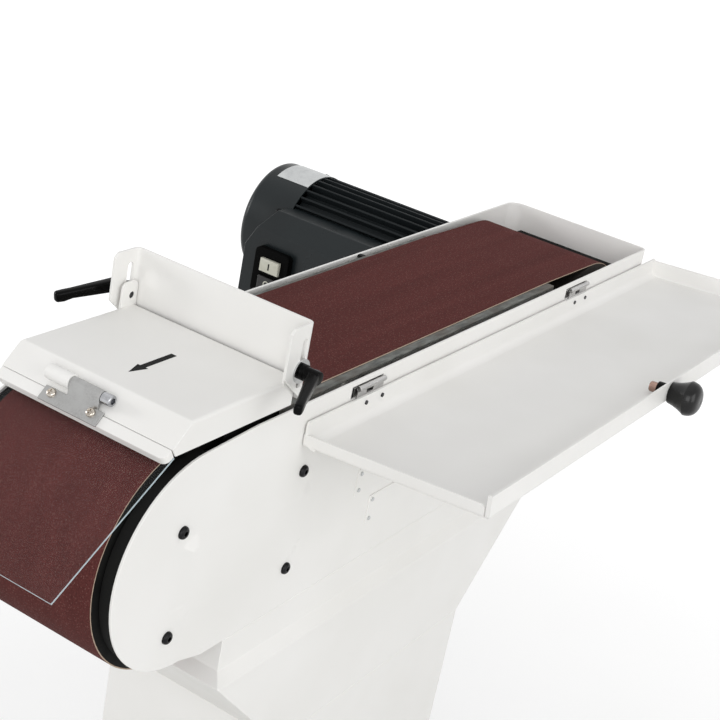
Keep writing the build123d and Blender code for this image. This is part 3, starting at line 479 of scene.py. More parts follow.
@dataclass(frozen=True)
class ClearSheet(Finish):
    """Polycarbonate sheet: see-through face with fine wipe marks, and a denser bluish cut edge.

    lean is the sheet's slope in degrees, by which its faces are told from its edges.
    """

    edge: str
    lean: float = 33.3
    face_alpha: float = 0.006
    edge_alpha: float = 0.7
    rim_facing: tuple[float, float] = (0.3, 0.95)
    wipe: float = 5.0
    wipe_stretch: Triple = (1, 0.05, 1)
    smooth: float = 0.04
    rough: float = 0.16
    ior: float = 1.585

    def dress(self, tree: Tree, place: Socket) -> dict[str, Socket | float]:
        """Add the wipe marks and the dense edge.

        Args:
            tree: Node tree to add to.
            place: Object coordinates.

        Returns:
            The shader's inputs.
        """
        normal = add_node(tree, "ShaderNodeTexCoord").outputs["Normal"]
        lean = math.radians(self.lean)
        facing = add_node(tree, "ShaderNodeVectorMath", {0: normal, 1: (-math.sin(lean), 0, math.cos(lean))},
                          operation="DOT_PRODUCT").outputs["Value"]
        flat = add_node(tree, "ShaderNodeMath", {0: facing}, operation="ABSOLUTE").outputs[0]
        across, along = self.rim_facing
        rim = add_node(tree, "ShaderNodeMapRange", {"Value": flat, "From Min": across, "From Max": along,
                                                    "To Min": 1.0, "To Max": 0.0}).outputs["Result"]
        colour = add_node(tree, "ShaderNodeMix", {0: rim, 6: linear(self.colour), 7: linear(self.edge)},
                          data_type="RGBA")
        alpha = add_node(tree, "ShaderNodeMapRange", {"Value": rim, "To Min": self.face_alpha,
                                                      "To Max": self.edge_alpha})
        wiped = mottle(tree, place, self.wipe, self.smooth, self.rough, detail=3.0, stretch=self.wipe_stretch)
        return {"Base Color": colour.outputs[2], "Alpha": alpha.outputs["Result"], "Roughness": wiped,
                "IOR": self.ior}


# Polyester powder coat on sheet steel: warm satin white with a faint orange peel.
POWDER_WHITE = Paint("powder_coat_white", "F0EFED", "EAE9E6")
# Stoved enamel on cast aluminium: near-black with a green cast and soft highlights.
MOTOR_ENAMEL = Paint("stoved_enamel_black", "15191B", "1A2022", peel=3.2, smooth=0.26, rough=0.38,
                     peel_depth=0.05, shine=0.26)
# The same on the finned body, dulled by the dust between the fins.
MOTOR_ENAMEL_DEEP = Paint("stoved_enamel_dusty", "14181A", "1A1E20", peel=3.2, smooth=0.4, rough=0.55,
                          peel_depth=0.05, shine=0.12)
# Brown aluminium-oxide grit bonded to cloth: matt red-brown with paler grains and a tan cut edge.
OXIDE_GRIT = AbrasiveCloth("oxide_grit_cloth", "633634", "472422", "86625C", "B9A593")
# Graphite-coated canvas of the platen: dark grey weave with lighter rubbed streaks.
GRAPHITE_CANVAS = GraphiteCloth("graphite_canvas", "3C3E3C", "80827E", "5E5852")
# Cold-rolled stainless sheet, brushed: light grey with fine streaks along its length.
STAINLESS_BRUSHED = Metal("stainless_brushed", "C4C3C2", "A6A5A5", 0.26, 0.42)
# Stainless sheet as rolled: greyer and duller.
STAINLESS_MILL = Metal("stainless_mill", "ABABAA", "989796", 0.34, 0.46)
# Bright zinc plate on fasteners: pale cool grey with clear reflections.
ZINC_BRIGHT = Metal("zinc_bright", "D0D1D2", "A5A6A8", 0.1, 0.24, streak=2.0, stretch=EVEN)
# Chrome plate, polished: almost a mirror.
CHROME_BRIGHT = Metal("chrome_plate", "B4B5B8", "8C8D91", 0.05, 0.14, streak=2.0, stretch=EVEN)
# Nickel plate: slightly warm grey with clear reflections.
NICKEL_WARM = Metal("nickel_plate", "C2BBB2", "94897D", 0.14, 0.3, streak=2.0, stretch=EVEN)
# Machined steel of shafts, axles and bearings: mid grey with fine lines along the axis.
STEEL_TURNED = Metal("steel_machined", "B9B8B6", "8D8C8A", 0.24, 0.42, stretch=(1, 0.05, 1))
# Steel with a dark oxide skin: grey-black with a dull gloss.
STEEL_OXIDE = Metal("steel_oxide", "4A4A4C", "2C2C2E", 0.3, 0.5, streak=2.0, stretch=EVEN)
# Copper-flashed steel of the knob's bolt: pinkish grey metal.
STEEL_FLASHED = Metal("steel_copper_flash", "A88C80", "7C625A", 0.2, 0.36, streak=2.0, stretch=EVEN)
# Cast and turned aluminium of pulleys: pale grey with fine tool marks.
ALUMINIUM_TURNED = Metal("aluminium_turned", "C9CACB", "A4A5A6", 0.32, 0.5, stretch=(1, 1, 0.1))
# The same on the drum, painted dark grey: painted shade standing for the narrow shaded gap round the drum.
ALUMINIUM_PAINTED_SHADE = Metal("aluminium_painted_shade", "56524E", "3A3734", 0.5, 0.7, stretch=(1, 1, 0.1))
# Grey iron as cast: dark, rough and coarse.
IRON_CAST = Metal("iron_as_cast", "6E6C69", "4F4D4B", 0.5, 0.75, streak=2.5, stretch=EVEN, depth=0.12)
# Black-passivated zinc of socket screws: near-black with a soft metal gloss.
ZINC_BLACK = Metal("zinc_black", "2A2A2B", "191919", 0.34, 0.5, streak=2.0, stretch=EVEN)
# Anodised aluminium label sheet: pale satin with fine lines.
LABEL_FOIL = Metal("label_anodised", "C6C8C8", "B2B4B5", 0.36, 0.5, streak=0.8)
# Glass-filled polyamide, moulded: deep black with a slight shine.
POLYAMIDE_BLACK = Moulded("polyamide_black", "050505", "080808", 0.14, 0.26, shine=0.07)
# Phenolic moulding of the cover's knob, polished: black with clear highlights.
PHENOLIC_BLACK = Moulded("phenolic_black", "0E0E0E", "141414", 0.16, 0.28, shine=0.3)
# Polyamide with a matt moulded surface, for housings: dull black.
POLYAMIDE_MATT = Moulded("polyamide_matt", "060606", "0A0A0A", 0.5, 0.7, shine=0.03)
# Black nitrile rubber, moulded: matt, with a visible grain.
RUBBER_BLACK = Moulded("rubber_black", "0E0E0E", "161615", 0.62, 0.85, grain=1.4, depth=0.08)
# Urea moulding of the start button: aged ivory with a soft gloss.
UREA_IVORY = Moulded("urea_ivory", "D0CFC3", "C2C1B3", 0.3, 0.42, depth=0.015, shine=0.4)
# Urea moulding of the stop button: dark, with a soft gloss.
UREA_DARK = Moulded("urea_dark", "1B1A1B", "242223", 0.22, 0.34, depth=0.015, shine=0.4)
# Screen ink on paint: flat black.
INK_BLACK = Moulded("screen_ink_black", "070707", "0B0B0B", 0.5, 0.6, depth=0.01, shine=0.1)
# Clear polycarbonate of the eye shield: an almost unseen face and a pale bluish edge.
POLYCARBONATE = ClearSheet("polycarbonate_clear", "E6EEF2", "C9DCE4")

SLOT_FINISHES: dict[Slot, Finish] = {
    Slot.WHITE_PAINT: POWDER_WHITE,
    Slot.MOTOR_PAINT: MOTOR_ENAMEL,
    Slot.ABRASIVE: OXIDE_GRIT,
    Slot.GRAPHITE: GRAPHITE_CANVAS,
    Slot.STEEL: STEEL_TURNED,
    Slot.ZINC_STEEL: ZINC_BRIGHT,
    Slot.STAINLESS: STAINLESS_BRUSHED,
    Slot.ALUMINIUM: ALUMINIUM_TURNED,
    Slot.CAST_IRON: IRON_CAST,
    Slot.BLACK_PLASTIC: POLYAMIDE_BLACK,
    Slot.RUBBER: RUBBER_BLACK,
    Slot.CLEAR_PLASTIC: POLYCARBONATE,
    Slot.LABEL_METAL: LABEL_FOIL,
    Slot.BUTTON_WHITE: UREA_IVORY,
    Slot.BUTTON_DARK: UREA_DARK,
    Slot.BLACK_ZINC: ZINC_BLACK,
}
NODE_SLOTS = {name: Slot(node.material_slots[0].material.name) for name, node in frame["nodes"].items()}
NODE_FINISHES: dict[str, Finish] = {
    **{name: SLOT_FINISHES[slot] for name, slot in NODE_SLOTS.items()},
    "clamp_bolts": STEEL_OXIDE,
    # The drum's dark grey is painted shade for the gap at the belt's end.
    "drive_drum": ALUMINIUM_PAINTED_SHADE,
    "motor_body": MOTOR_ENAMEL_DEEP,
    "lid_knob": PHENOLIC_BLACK,
    "lid_rivets": STEEL_OXIDE,
    "name_plate_rivets": LABEL_FOIL,
    "switch_housing": POLYAMIDE_MATT,
    "shield_hinge_plate": STAINLESS_MILL,
}


def make_active(piece: Piece) -> None:
    """Select one object alone and make it active.

    Args:
        piece: The object.
    """
    bpy.ops.object.select_all(action="DESELECT")
    piece.select_set(True)
    bpy.context.view_layer.objects.active = piece


@contextmanager
def editing(piece: Piece) -> Iterator[None]:
    """Open one object in edit mode for a while.

    Args:
        piece: The object to edit.
    """
    make_active(piece)
    bpy.ops.object.mode_set(mode="EDIT")
    yield
    bpy.ops.object.mode_set(mode="OBJECT")


def named(name: str) -> Piece:
    """Name the active object and set its place into its mesh.

    Args:
        name: Name of the object and of its mesh.

    Returns:
        The object, now at the origin.
    """
    piece = bpy.context.active_object
    piece.name = name
    piece.data.name = name
    make_active(piece)
    bpy.ops.object.transform_apply(location=True, rotation=True, scale=True)
    return piece


def pick_faces(piece: Piece, test: Callable[[Vector, Vector], bool]) -> None:
    """Select faces in edit mode.

    Args:
        piece: The object that is being edited.
        test: Tells from a face's centre and normal whether it is wanted.
    """
    bpy.ops.mesh.select_mode(type="FACE")
    bpy.ops.mesh.select_all(action="DESELECT")
    mesh = bmesh.from_edit_mesh(piece.data)
    for face in mesh.faces:
        face.select_set(test(face.calc_center_median(), face.normal))
    bmesh.update_edit_mesh(piece.data)


def pick_edges(piece: Piece, test: Callable[[Vector, Vector], bool]) -> None:
    """Select edges in edit mode.

    Args:
        piece: The object that is being edited.
        test: Tells from an edge's two ends whether it is wanted.
    """
    bpy.ops.mesh.select_mode(type="EDGE")
    bpy.ops.mesh.select_all(action="DESELECT")
    mesh = bmesh.from_edit_mesh(piece.data)
    for edge in mesh.edges:
        edge.select_set(test(edge.verts[0].co, edge.verts[1].co))
    bmesh.update_edit_mesh(piece.data)


def modify(piece: Piece, kind: str, **settings: object) -> None:
    """Add a modifier to an object and apply it.

    Args:
        piece: The object.
        kind: Modifier type.
        **settings: Properties of the modifier.
    """
    make_active(piece)
    modifier = piece.modifiers.new(kind.lower(), kind)
    for name, value in settings.items():
        setattr(modifier, name, value)
    bpy.ops.object.modifier_apply(modifier=modifier.name)


def cut(piece: Piece, cutter: Piece) -> None:
    """Cut one object's shape out of another and remove the cutter."""
    modify(piece, "BOOLEAN", object=cutter, operation="DIFFERENCE", solver="EXACT")
    bpy.data.objects.remove(cutter)


def smooth(piece: Piece, angle: float = 35.0) -> None:
    """Shade a piece smooth, apart from edges sharper than an angle in degrees."""
    make_active(piece)
    bpy.ops.object.shade_smooth_by_angle(angle=math.radians(angle))


def turned(name: str, radius: float, height: float, rounding: float, segments: int = 3) -> Piece:
    """Model a turned pin that stands on the origin, with its top edge rounded.

    Args:
        name: Name of the pin.
        radius: Radius of the pin in millimetres.
        height: Height of the pin in millimetres.
        rounding: Radius of its top edge in millimetres.
        segments: Faces across the rounding.

    Returns:
        The pin.
    """
    bpy.ops.mesh.primitive_cylinder_add(vertices=TURNED_SIDES, radius=radius * MM, depth=height * MM,
                                        location=(0, 0, height * MM / 2))
    pin = named(name)
    with editing(pin):
        pick_edges(pin, lambda a, b: min(a.z, b.z) > height * MM - TOUCH)
        bpy.ops.mesh.bevel(offset=rounding * MM, segments=segments)
    return pin


def copies_at(model: Piece, spots: list[Spot], name: str) -> Piece:
    """Copy a piece drawn at the origin, looking up, to several places.

    Args:
        model: The piece to copy, which is used up.
        spots: A place and an outward direction for each copy.
        name: Name of the joined copies.

    Returns:
        One object with all the copies.
    """
    copies = []
    for place, outward in spots:
        mesh = model.data.copy()
        turn = Vector((0, 0, 1)).rotation_difference(outward).to_matrix().to_4x4()
        mesh.transform(Matrix.Translation(place) @ turn)
        copy = bpy.data.objects.new(name, mesh)
        bpy.context.collection.objects.link(copy)
        copies.append(copy)
    bpy.data.objects.remove(model)
    make_active(copies[0])
    for copy in copies[1:]:
        copy.select_set(True)
    if len(copies) > 1:
        bpy.ops.object.join()
    return named(name)


def fit(piece: Piece, body: Body, slot: Slot, finish: Finish, *nodes: str) -> None:
    """Dress a finished piece and set it on its body.

    Args:
        piece: The piece, in its place.
        body: The body that it moves with.
        slot: The record's material slot; not used.
        finish: The finish that it gets.
        *nodes: Solids that it stands for.
    """
    piece.data.materials.clear()
    piece.data.materials.append(finish.material())
    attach(piece, body.value)
    if nodes:
        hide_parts(*nodes)
    LOG.info("%s on %s, %s", piece.name, body.value, finish.name)


@dataclass
class SheetWork:
    """Bent, cast and moulded shells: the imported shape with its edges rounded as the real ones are.

    Each entry of edges gives a solid and the radius of its edges. The limited ones have short edges, which
    keep the radius down.
    """

    edges: dict[str, float] = field(default_factory=lambda: {
        "base_plate": 0.8, "column": 1.2, "hopper": 0.8, "suction_port": 0.5,
        "front_plate": 0.6, "rear_plate": 0.6, "end_wall": 0.6, "bottom_tray": 0.4,
        "hood": 0.5, "stop_plate": 0.5, "shield_bar": 0.5, "shield_barrel": 0.3, "shield_hinge_plate": 0.25,
        "shield_sheet": 0.3, "lid_tray": 0.5, "hinge_leaves": 0.25, "lid_leaves": 0.25, "name_plates": 0.2,
        "platen_pad": 0.4, "motor_flange": 1.0, "motor_body": 0.4, "terminal_box": 1.2, "switch_housing": 1.0,
        "label_plate": 0.12, "start_button": 0.3, "stop_button": 0.3, "lid_buffer": 0.6,
    })
    limited: tuple[str, ...] = ("lid_tray",)
    weld: float = 0.001
    flat_angle: float = 1.0
    sharp_angle: float = 32.0
    segments: int = 3

    def build(self) -> None:
        """Round every listed solid and set it on its body."""
        for node, radius in self.edges.items():
            body = Body(frame["nodes"][node]["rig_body"])
            fit(self.rounded(node, radius), body, NODE_SLOTS[node], NODE_FINISHES[node], node)

    def rounded(self, node: str, radius: float) -> Piece:
        """Copy a solid and round its edges.

        Args:
            node: Name of the solid.
            radius: Radius of its edges in millimetres.

        Returns:
            The rounded piece.
        """
        piece = bpy.data.objects.new(f"{node}_shell", frame["nodes"][node].data.copy())
        bpy.context.collection.objects.link(piece)
        make_active(piece)
        bpy.ops.mesh.customdata_custom_splitnormals_clear()
        with editing(piece):
            bpy.ops.mesh.select_all(action="SELECT")
            bpy.ops.mesh.remove_doubles(threshold=self.weld * MM)
            bpy.ops.mesh.dissolve_limited(angle_limit=math.radians(self.flat_angle))
        modify(piece, "BEVEL", width=radius * MM, segments=self.segments, limit_method="ANGLE",
               angle_limit=math.radians(self.sharp_angle), use_clamp_overlap=node in self.limited)
        smooth(piece)
        modify(piece, "WEIGHTED_NORMAL", keep_sharp=True)
        return piece


@dataclass(frozen=True)
class Screw:
    """Round-headed screw, drawn at the origin with its head looking up.

    recess is the socket's radius or half the length of the cross, dome the share of the height that is
    rounded, and bar the width of the cross's bars as a share of their length.
    """

    radius: float
    height: float
    drive: Drive
    recess: float
    depth: float
    dome: float = 0.8
    bar: float = 0.25
    rounding: int = 6

    def model(self) -> Piece:
        """Model one domed head with its recess.

        Returns:
            The head.
        """
        head = turned("screw_head", self.radius, self.height, self.height * self.dome, self.rounding)
        for cutter in self.cutters():
            cut(head, cutter)
        smooth(head)
        return head

    def cutters(self) -> list[Piece]:
        """Model the shapes that cut the recess.

        Returns:
            One hexagon or two crossed bars.
        """
        centre = (0, 0, self.height * MM)
        length, deep = 2 * self.recess * MM, 2 * self.depth * MM
        if self.drive is Drive.HEX_SOCKET:
            bpy.ops.mesh.primitive_cylinder_add(vertices=6, radius=length / 2, depth=deep, location=centre)
            return [named("socket_cutter")]
        bars = []
        for turn in (0, math.pi / 2):
            bpy.ops.mesh.primitive_cube_add(size=1, location=centre, rotation=(0, 0, turn),
                                            scale=(length, self.bar * length, deep))
            bars.append(named("cross_cutter"))
        return bars


@dataclass
class Fasteners:
    """Screws that show on the side plates, the shield and the cowl, and the head of the shield's pin."""

    plate_screw: Screw = Screw(5.5, 3.4, Drive.HEX_SOCKET, 2.3, 1.8)
    plate_x: tuple[float, float] = (-21.5, 137.0)
    plate_y: float = 90.6
    plate_z: tuple[float, float] = (-68.5, -164.0)
    shield_screw: Screw = Screw(4.0, 2.4, Drive.CROSS, 2.2, 1.2)
    shield_slope: float = 42.4
    shield_y: tuple[float, float] = (-9.3, 31.0)
    pin_head: Screw = Screw(4.7, 8.8, Drive.HEX_SOCKET, 2.8, 3.5, dome=0.12)
    cowl_screw: Screw = Screw(3.4, 2.0, Drive.CROSS, 1.9, 1.0)
    cowl_middle: Triple = (701.5, 308.0, -91.0)
    cowl_radius: float = 70.8
    cowl_turns: tuple[float, ...] = (28.0, 118.0, 208.0, 298.0)

    def build(self) -> None:
        """Model each kind once and copy it to its places."""
        self.fit_plate_screws()
        self.fit_shield_screws()
        self.fit_shield_pin()
        self.fit_cowl_screws()

    def fit_plate_screws(self) -> None:
        """Set the socket screws into both side plates."""
        spots = [(DATUM.point(x, sign * self.plate_y, z), Vector((0, sign, 0)))
                 for sign in (-1, 1) for z in self.plate_z for x in self.plate_x]
        fit(copies_at(self.plate_screw.model(), spots, "plate_socket_screws"), Body.FRAME, Slot.BLACK_ZINC,
            ZINC_BLACK, "side_plate_screws")

    def fit_shield_screws(self) -> None:
        """Set the cross-recess screws on the shield's sloping hinge plate."""
        low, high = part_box("shield_screws")
        slope = math.radians(self.shield_slope)
        outward = Vector((-math.sin(slope), 0, math.cos(slope)))
        foot = (low + high) / 2 - outward * self.shield_screw.height / 2 * MM
        spots = [(Vector((foot.x, y * MM, foot.z)), outward) for y in self.shield_y]
        fit(copies_at(self.shield_screw.model(), spots, "shield_cross_screws"), Body.SHIELD, Slot.ZINC_STEEL,
            NICKEL_WARM, "shield_screws")

    def fit_shield_pin(self) -> None:
        """Set the head of the shield's pin flush with the pin's front end."""
        low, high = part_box("shield_pin")
        middle = (low + high) / 2
        spots = [(Vector((middle.x, low.y + self.pin_head.height * MM, middle.z)), Vector((0, -1, 0)))]
        fit(copies_at(self.pin_head.model(), spots, "shield_pin_head"), Body.FRAME, Slot.ZINC_STEEL,
            CHROME_BRIGHT, "shield_pin")

    def fit_cowl_screws(self) -> None:
        """Set the cross-recess screws round the fan cowl."""
        axis = DATUM.point(*self.cowl_middle)
        spots = []
        for turn in self.cowl_turns:
            angle = math.radians(turn)
            outward = Vector((-math.cos(angle), 0, math.sin(angle)))
            spots.append((axis + outward * self.cowl_radius * MM, outward))
        fit(copies_at(self.cowl_screw.model(), spots, "cowl_screws"), Body.FRAME, Slot.BLACK_ZINC, ZINC_BLACK)


@dataclass(frozen=True)
class Station:
    """Section of a lever's arm: how far along, its two widths, and how far it hangs below the middle line."""

    along: float
    wide: float
    high: float
    drop: float = 0.0


@dataclass
class ClampLever:
    """Moulded clamping lever: stepped hub, flat-sided tapering arm and a heel at its end.

    hub gives the axis in x and z, span the hub's two ends along y, tip the middle of the arm's end, root_z
    the height at which the arm leaves the hub, and elbow how far the arm reaches back past the hub's axis.
    """

    name: str
    body: Body
    node: str
    sign: int
    tip: Triple
    root_z: float
    hub: tuple[float, float] = (101.0, 35.0)
    span: tuple[float, float] = (94.2, 111.0)
    hub_radii: tuple[float, float] = (6.8, 5.8)
    hub_sides: int = 48
    hub_edge: float = 1.4
    collar: float = 4.0
    arm_y: float = 105.0
    past_tip: float = 1.5
    elbow: float = 6.0
    stations: tuple[Station, ...] = (
        Station(0.0, 9.8, 11.4), Station(0.4, 9.0, 9.8), Station(0.72, 7.8, 8.6),
        Station(0.86, 7.8, 10.0, 0.7), Station(1.0, 7.0, 9.4, 0.7),
    )
    arm_edge: float = 2.6
    sharp_angle: float = 50.0
    shade_angle: float = 40.0

    def build(self) -> None:
        """Model hub and arm, blend them and set the lever on its body."""
        lever = self.model_hub()
        arm = self.model_arm()
        modify(lever, "BOOLEAN", object=arm, operation="UNION", solver="EXACT", use_self=True)
        bpy.data.objects.remove(arm)
        smooth(lever, self.shade_angle)
        fit(lever, self.body, Slot.BLACK_PLASTIC, POLYAMIDE_BLACK, self.node)

    def model_hub(self) -> Piece:
        """Model the stepped hub about its axis.

        Returns:
            The hub.
        """
        start, end = (self.sign * value for value in self.span)
        wide, narrow = self.hub_radii
        middle = DATUM.point(self.hub[0], start + self.sign * self.collar / 2, self.hub[1])
        bpy.ops.mesh.primitive_cylinder_add(vertices=self.hub_sides, radius=wide * MM, depth=self.collar * MM,
                                            location=middle, rotation=(math.pi / 2, 0, 0))
        hub = named(self.name)
        with editing(hub):
            pick_faces(hub, lambda centre, normal: normal.y * self.sign > FACING)
            bpy.ops.mesh.inset(thickness=(wide - narrow) * MM)
            rest = end - start - self.sign * self.collar
            bpy.ops.mesh.extrude_region_move(TRANSFORM_OT_translate={"value": (0, rest * MM, 0)})
        modify(hub, "BEVEL", width=self.hub_edge * MM, segments=3, limit_method="ANGLE",
               angle_limit=math.radians(self.sharp_angle))
        return hub

    def model_arm(self) -> Piece:
        """Draw the arm out section by section, and then set it on the hub.

        Returns:
            The arm.
        """
        root = DATUM.point(self.hub[0], self.sign * self.arm_y, self.root_z)
        run = DATUM.point(*self.tip) - root
        length = run.length + self.past_tip * MM
        first = self.stations[0]
        bpy.ops.mesh.primitive_cube_add(size=1, location=(0, 0, -self.elbow * MM / 2),
                                        scale=(first.wide * MM, first.high * MM, self.elbow * MM))
        arm = named(f"{self.name}_arm")
        with editing(arm):
            pick_faces(arm, lambda centre, normal: normal.z > FACING)
            for before, after in zip(self.stations, self.stations[1:]):
                move = (0, (after.drop - before.drop) * MM, (after.along - before.along) * length)
                bpy.ops.mesh.extrude_region_move(TRANSFORM_OT_translate={"value": move})
                bpy.ops.transform.resize(value=(after.wide / before.wide, after.high / before.high, 1),
                                         center_override=self.cap_centre(arm))
        modify(arm, "BEVEL", width=self.arm_edge * MM, segments=4, limit_method="ANGLE",
               angle_limit=math.radians(self.sharp_angle))
        along = run.normalized()
        across = along.cross(Vector((0, 0, 1))).normalized()
        turn = Matrix((across, along.cross(across), along)).transposed().to_4x4()
        arm.matrix_world = Matrix.Translation(root) @ turn
        return named(arm.name)

    def cap_centre(self, piece: Piece) -> Vector:
        """Return the middle of the selected faces."""
        chosen = [face for face in bmesh.from_edit_mesh(piece.data).faces if face.select]
        return sum((face.calc_center_median() for face in chosen), Vector()) / len(chosen)


@dataclass
class KnobFixing:
    """Spacer and bolt end that hold the cover's knob inside the rim: radius, length and rounding of each."""

    foot: Triple = (484.5, -266.4, -21.6)
    lean: float = 3.8
    spacer: Triple = (7.2, 11.6, 0.8)
    bolt: Triple = (5.2, 19.4, 1.4)

    def build(self) -> None:
        """Model the spacer and the bolt end and set them on the cover."""
        fit(self.placed("knob_spacer", self.spacer), Body.LID, Slot.BLACK_ZINC, POLYAMIDE_BLACK, "knob_stud")
        fit(self.placed("knob_bolt_end", self.bolt), Body.LID, Slot.ZINC_STEEL, STEEL_FLASHED)

    def placed(self, name: str, sizes: Triple) -> Piece:
        """Model a turned pin and set it on the cover's rim.

        Args:
            name: Name of the pin.
            sizes: Its radius, length and rounding.

        Returns:
            The pin in its place.
        """
        lean = math.radians(self.lean)
        pin = turned("turned_pin", *sizes)
        smooth(pin)
        return copies_at(pin, [(DATUM.point(*self.foot), Vector((0, math.cos(lean), -math.sin(lean))))], name)


@dataclass
class DirectionArrow:
    """Screen-printed arrow on the guard that shows which way the belt runs.

    head gives the length and width of the arrow's head, and lift how far the ink starts above the guard.
    """

    tip_x: float = -1.0
    tail_x: float = 54.0
    middle_y: float = -2.3
    guard_top: float = 25.7
    head: tuple[float, float] = (17.0, 10.5)
    shaft: float = 5.4
    ink: float = 0.12
    lift: float = 0.02

    def build(self) -> None:
        """Model the shaft and the head and lay them on the guard."""
        neck = self.tip_x + self.head[0]
        middle = DATUM.point((neck + self.tail_x) / 2, self.middle_y, self.guard_top + self.lift)
        bpy.ops.mesh.primitive_plane_add(size=1, location=middle)
        bpy.context.active_object.scale = ((self.tail_x - neck) * MM, self.shaft * MM, 1)
        arrow = named("direction_arrow")
        front = DATUM.point(neck, 0, 0).x
        with editing(arrow):
            bpy.ops.mesh.select_all(action="SELECT")
            bpy.ops.mesh.subdivide(number_cuts=2)
            pick_edges(arrow, lambda a, b: abs(a.x - front) + abs(b.x - front) < TOUCH)
            bpy.ops.mesh.extrude_region_move(TRANSFORM_OT_translate={"value": (-self.head[0] * MM, 0, 0)})
            bpy.ops.mesh.merge(type="CENTER")
            for sign in (-1, 1):
                self.spread_barb(arrow, front, sign)
        modify(arrow, "SOLIDIFY", thickness=self.ink * MM, offset=1.0)
        fit(arrow, Body.FRAME, Slot.BLACK_PLASTIC, INK_BLACK)

    def spread_barb(self, arrow: Piece, front: float, sign: int) -> None:
        """Draw one corner of the head out past the shaft, in edit mode.

        Args:
            arrow: The flat arrow.
            front: Where the shaft meets the head.
            sign: Side of the arrow that the corner is on.
        """
        bpy.ops.mesh.select_all(action="DESELECT")
        mesh = bmesh.from_edit_mesh(arrow.data)
        slanted = [edge for edge in mesh.edges if min(end.co.x for end in edge.verts) < front - TOUCH]
        max(slanted, key=lambda edge: sign * sum(end.co.y for end in edge.verts)).select_set(True)
        bmesh.update_edit_mesh(arrow.data)
        reach = (self.head[1] - self.shaft) / 2 * sign * MM
        bpy.ops.mesh.extrude_region_move(TRANSFORM_OT_translate={"value": (0, reach, 0)})
        mesh = bmesh.from_edit_mesh(arrow.data)
        tip_x = min(vert.co.x for vert in mesh.verts)
        for vert in mesh.verts:
            if abs(vert.co.x - tip_x) < TOUCH:
                vert.co.y = self.middle_y * MM
        bmesh.update_edit_mesh(arrow.data)
        bpy.ops.mesh.select_all(action="SELECT")
        bpy.ops.mesh.remove_doubles(threshold=TOUCH)


@dataclass
class SwitchMarks:
    """Marks moulded in the push buttons: a bar on start and a ring on stop.

    bar gives the bar's width and height, ring the ring's radius, line half the width of its line, and proud
    how far both stand out.
    """

    bar: tuple[float, float] = (2.0, 8.0)
    bar_edge: float = 0.08
    ring: float = 3.4
    line: float = 0.6
    line_sides: int = 8
    shade_angle: float = 60.0
    proud: float = 0.1

    def build(self) -> None:
        """Model the bar and the ring on their buttons."""
        bpy.ops.mesh.primitive_cube_add(size=1, location=self.face_middle("start_button"),
                                        scale=(2 * self.proud * MM, self.bar[0] * MM, self.bar[1] * MM))
        bar = named("start_mark")
        modify(bar, "BEVEL", width=self.bar_edge * MM, segments=2)
        fit(bar, Body.START, Slot.BLACK_PLASTIC, INK_BLACK)

        middle = self.face_middle("stop_button")
        bpy.ops.mesh.primitive_torus_add(location=middle, rotation=(0, math.pi / 2, 0),
                                         major_radius=self.ring * MM, minor_radius=self.line * MM,
                                         major_segments=TURNED_SIDES, minor_segments=self.line_sides)
        ring = named("stop_mark")
        with editing(ring):
            bpy.ops.mesh.select_all(action="SELECT")
            bpy.ops.transform.resize(value=(self.proud / self.line, 1, 1), center_override=middle)
        smooth(ring, self.shade_angle)
        fit(ring, Body.STOP, Slot.BUTTON_WHITE, UREA_IVORY)

    def face_middle(self, button: str) -> Vector:
        """Return the middle of a button's front face."""
        low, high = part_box(button)
        return Vector((low.x, (low.y + high.y) / 2, (low.z + high.z) / 2))


@dataclass(frozen=True)
class Softbox:
    """Square soft lamp, with its place and side in metres and its power in watts."""

    name: str
    place: Triple
    side: float
    power: float

    def hang(self, target: Vector) -> None:
        """Hang the lamp so that it looks at a point.

        Args:
            target: The point to light.
        """
        bpy.ops.object.light_add(type="AREA", location=self.place)
        lamp = bpy.context.active_object
        lamp.name = self.name
        lamp.data.energy = self.power
        lamp.data.size = self.side
        lamp.rotation_euler = (target - Vector(self.place)).to_track_quat("-Z", "Y").to_euler()


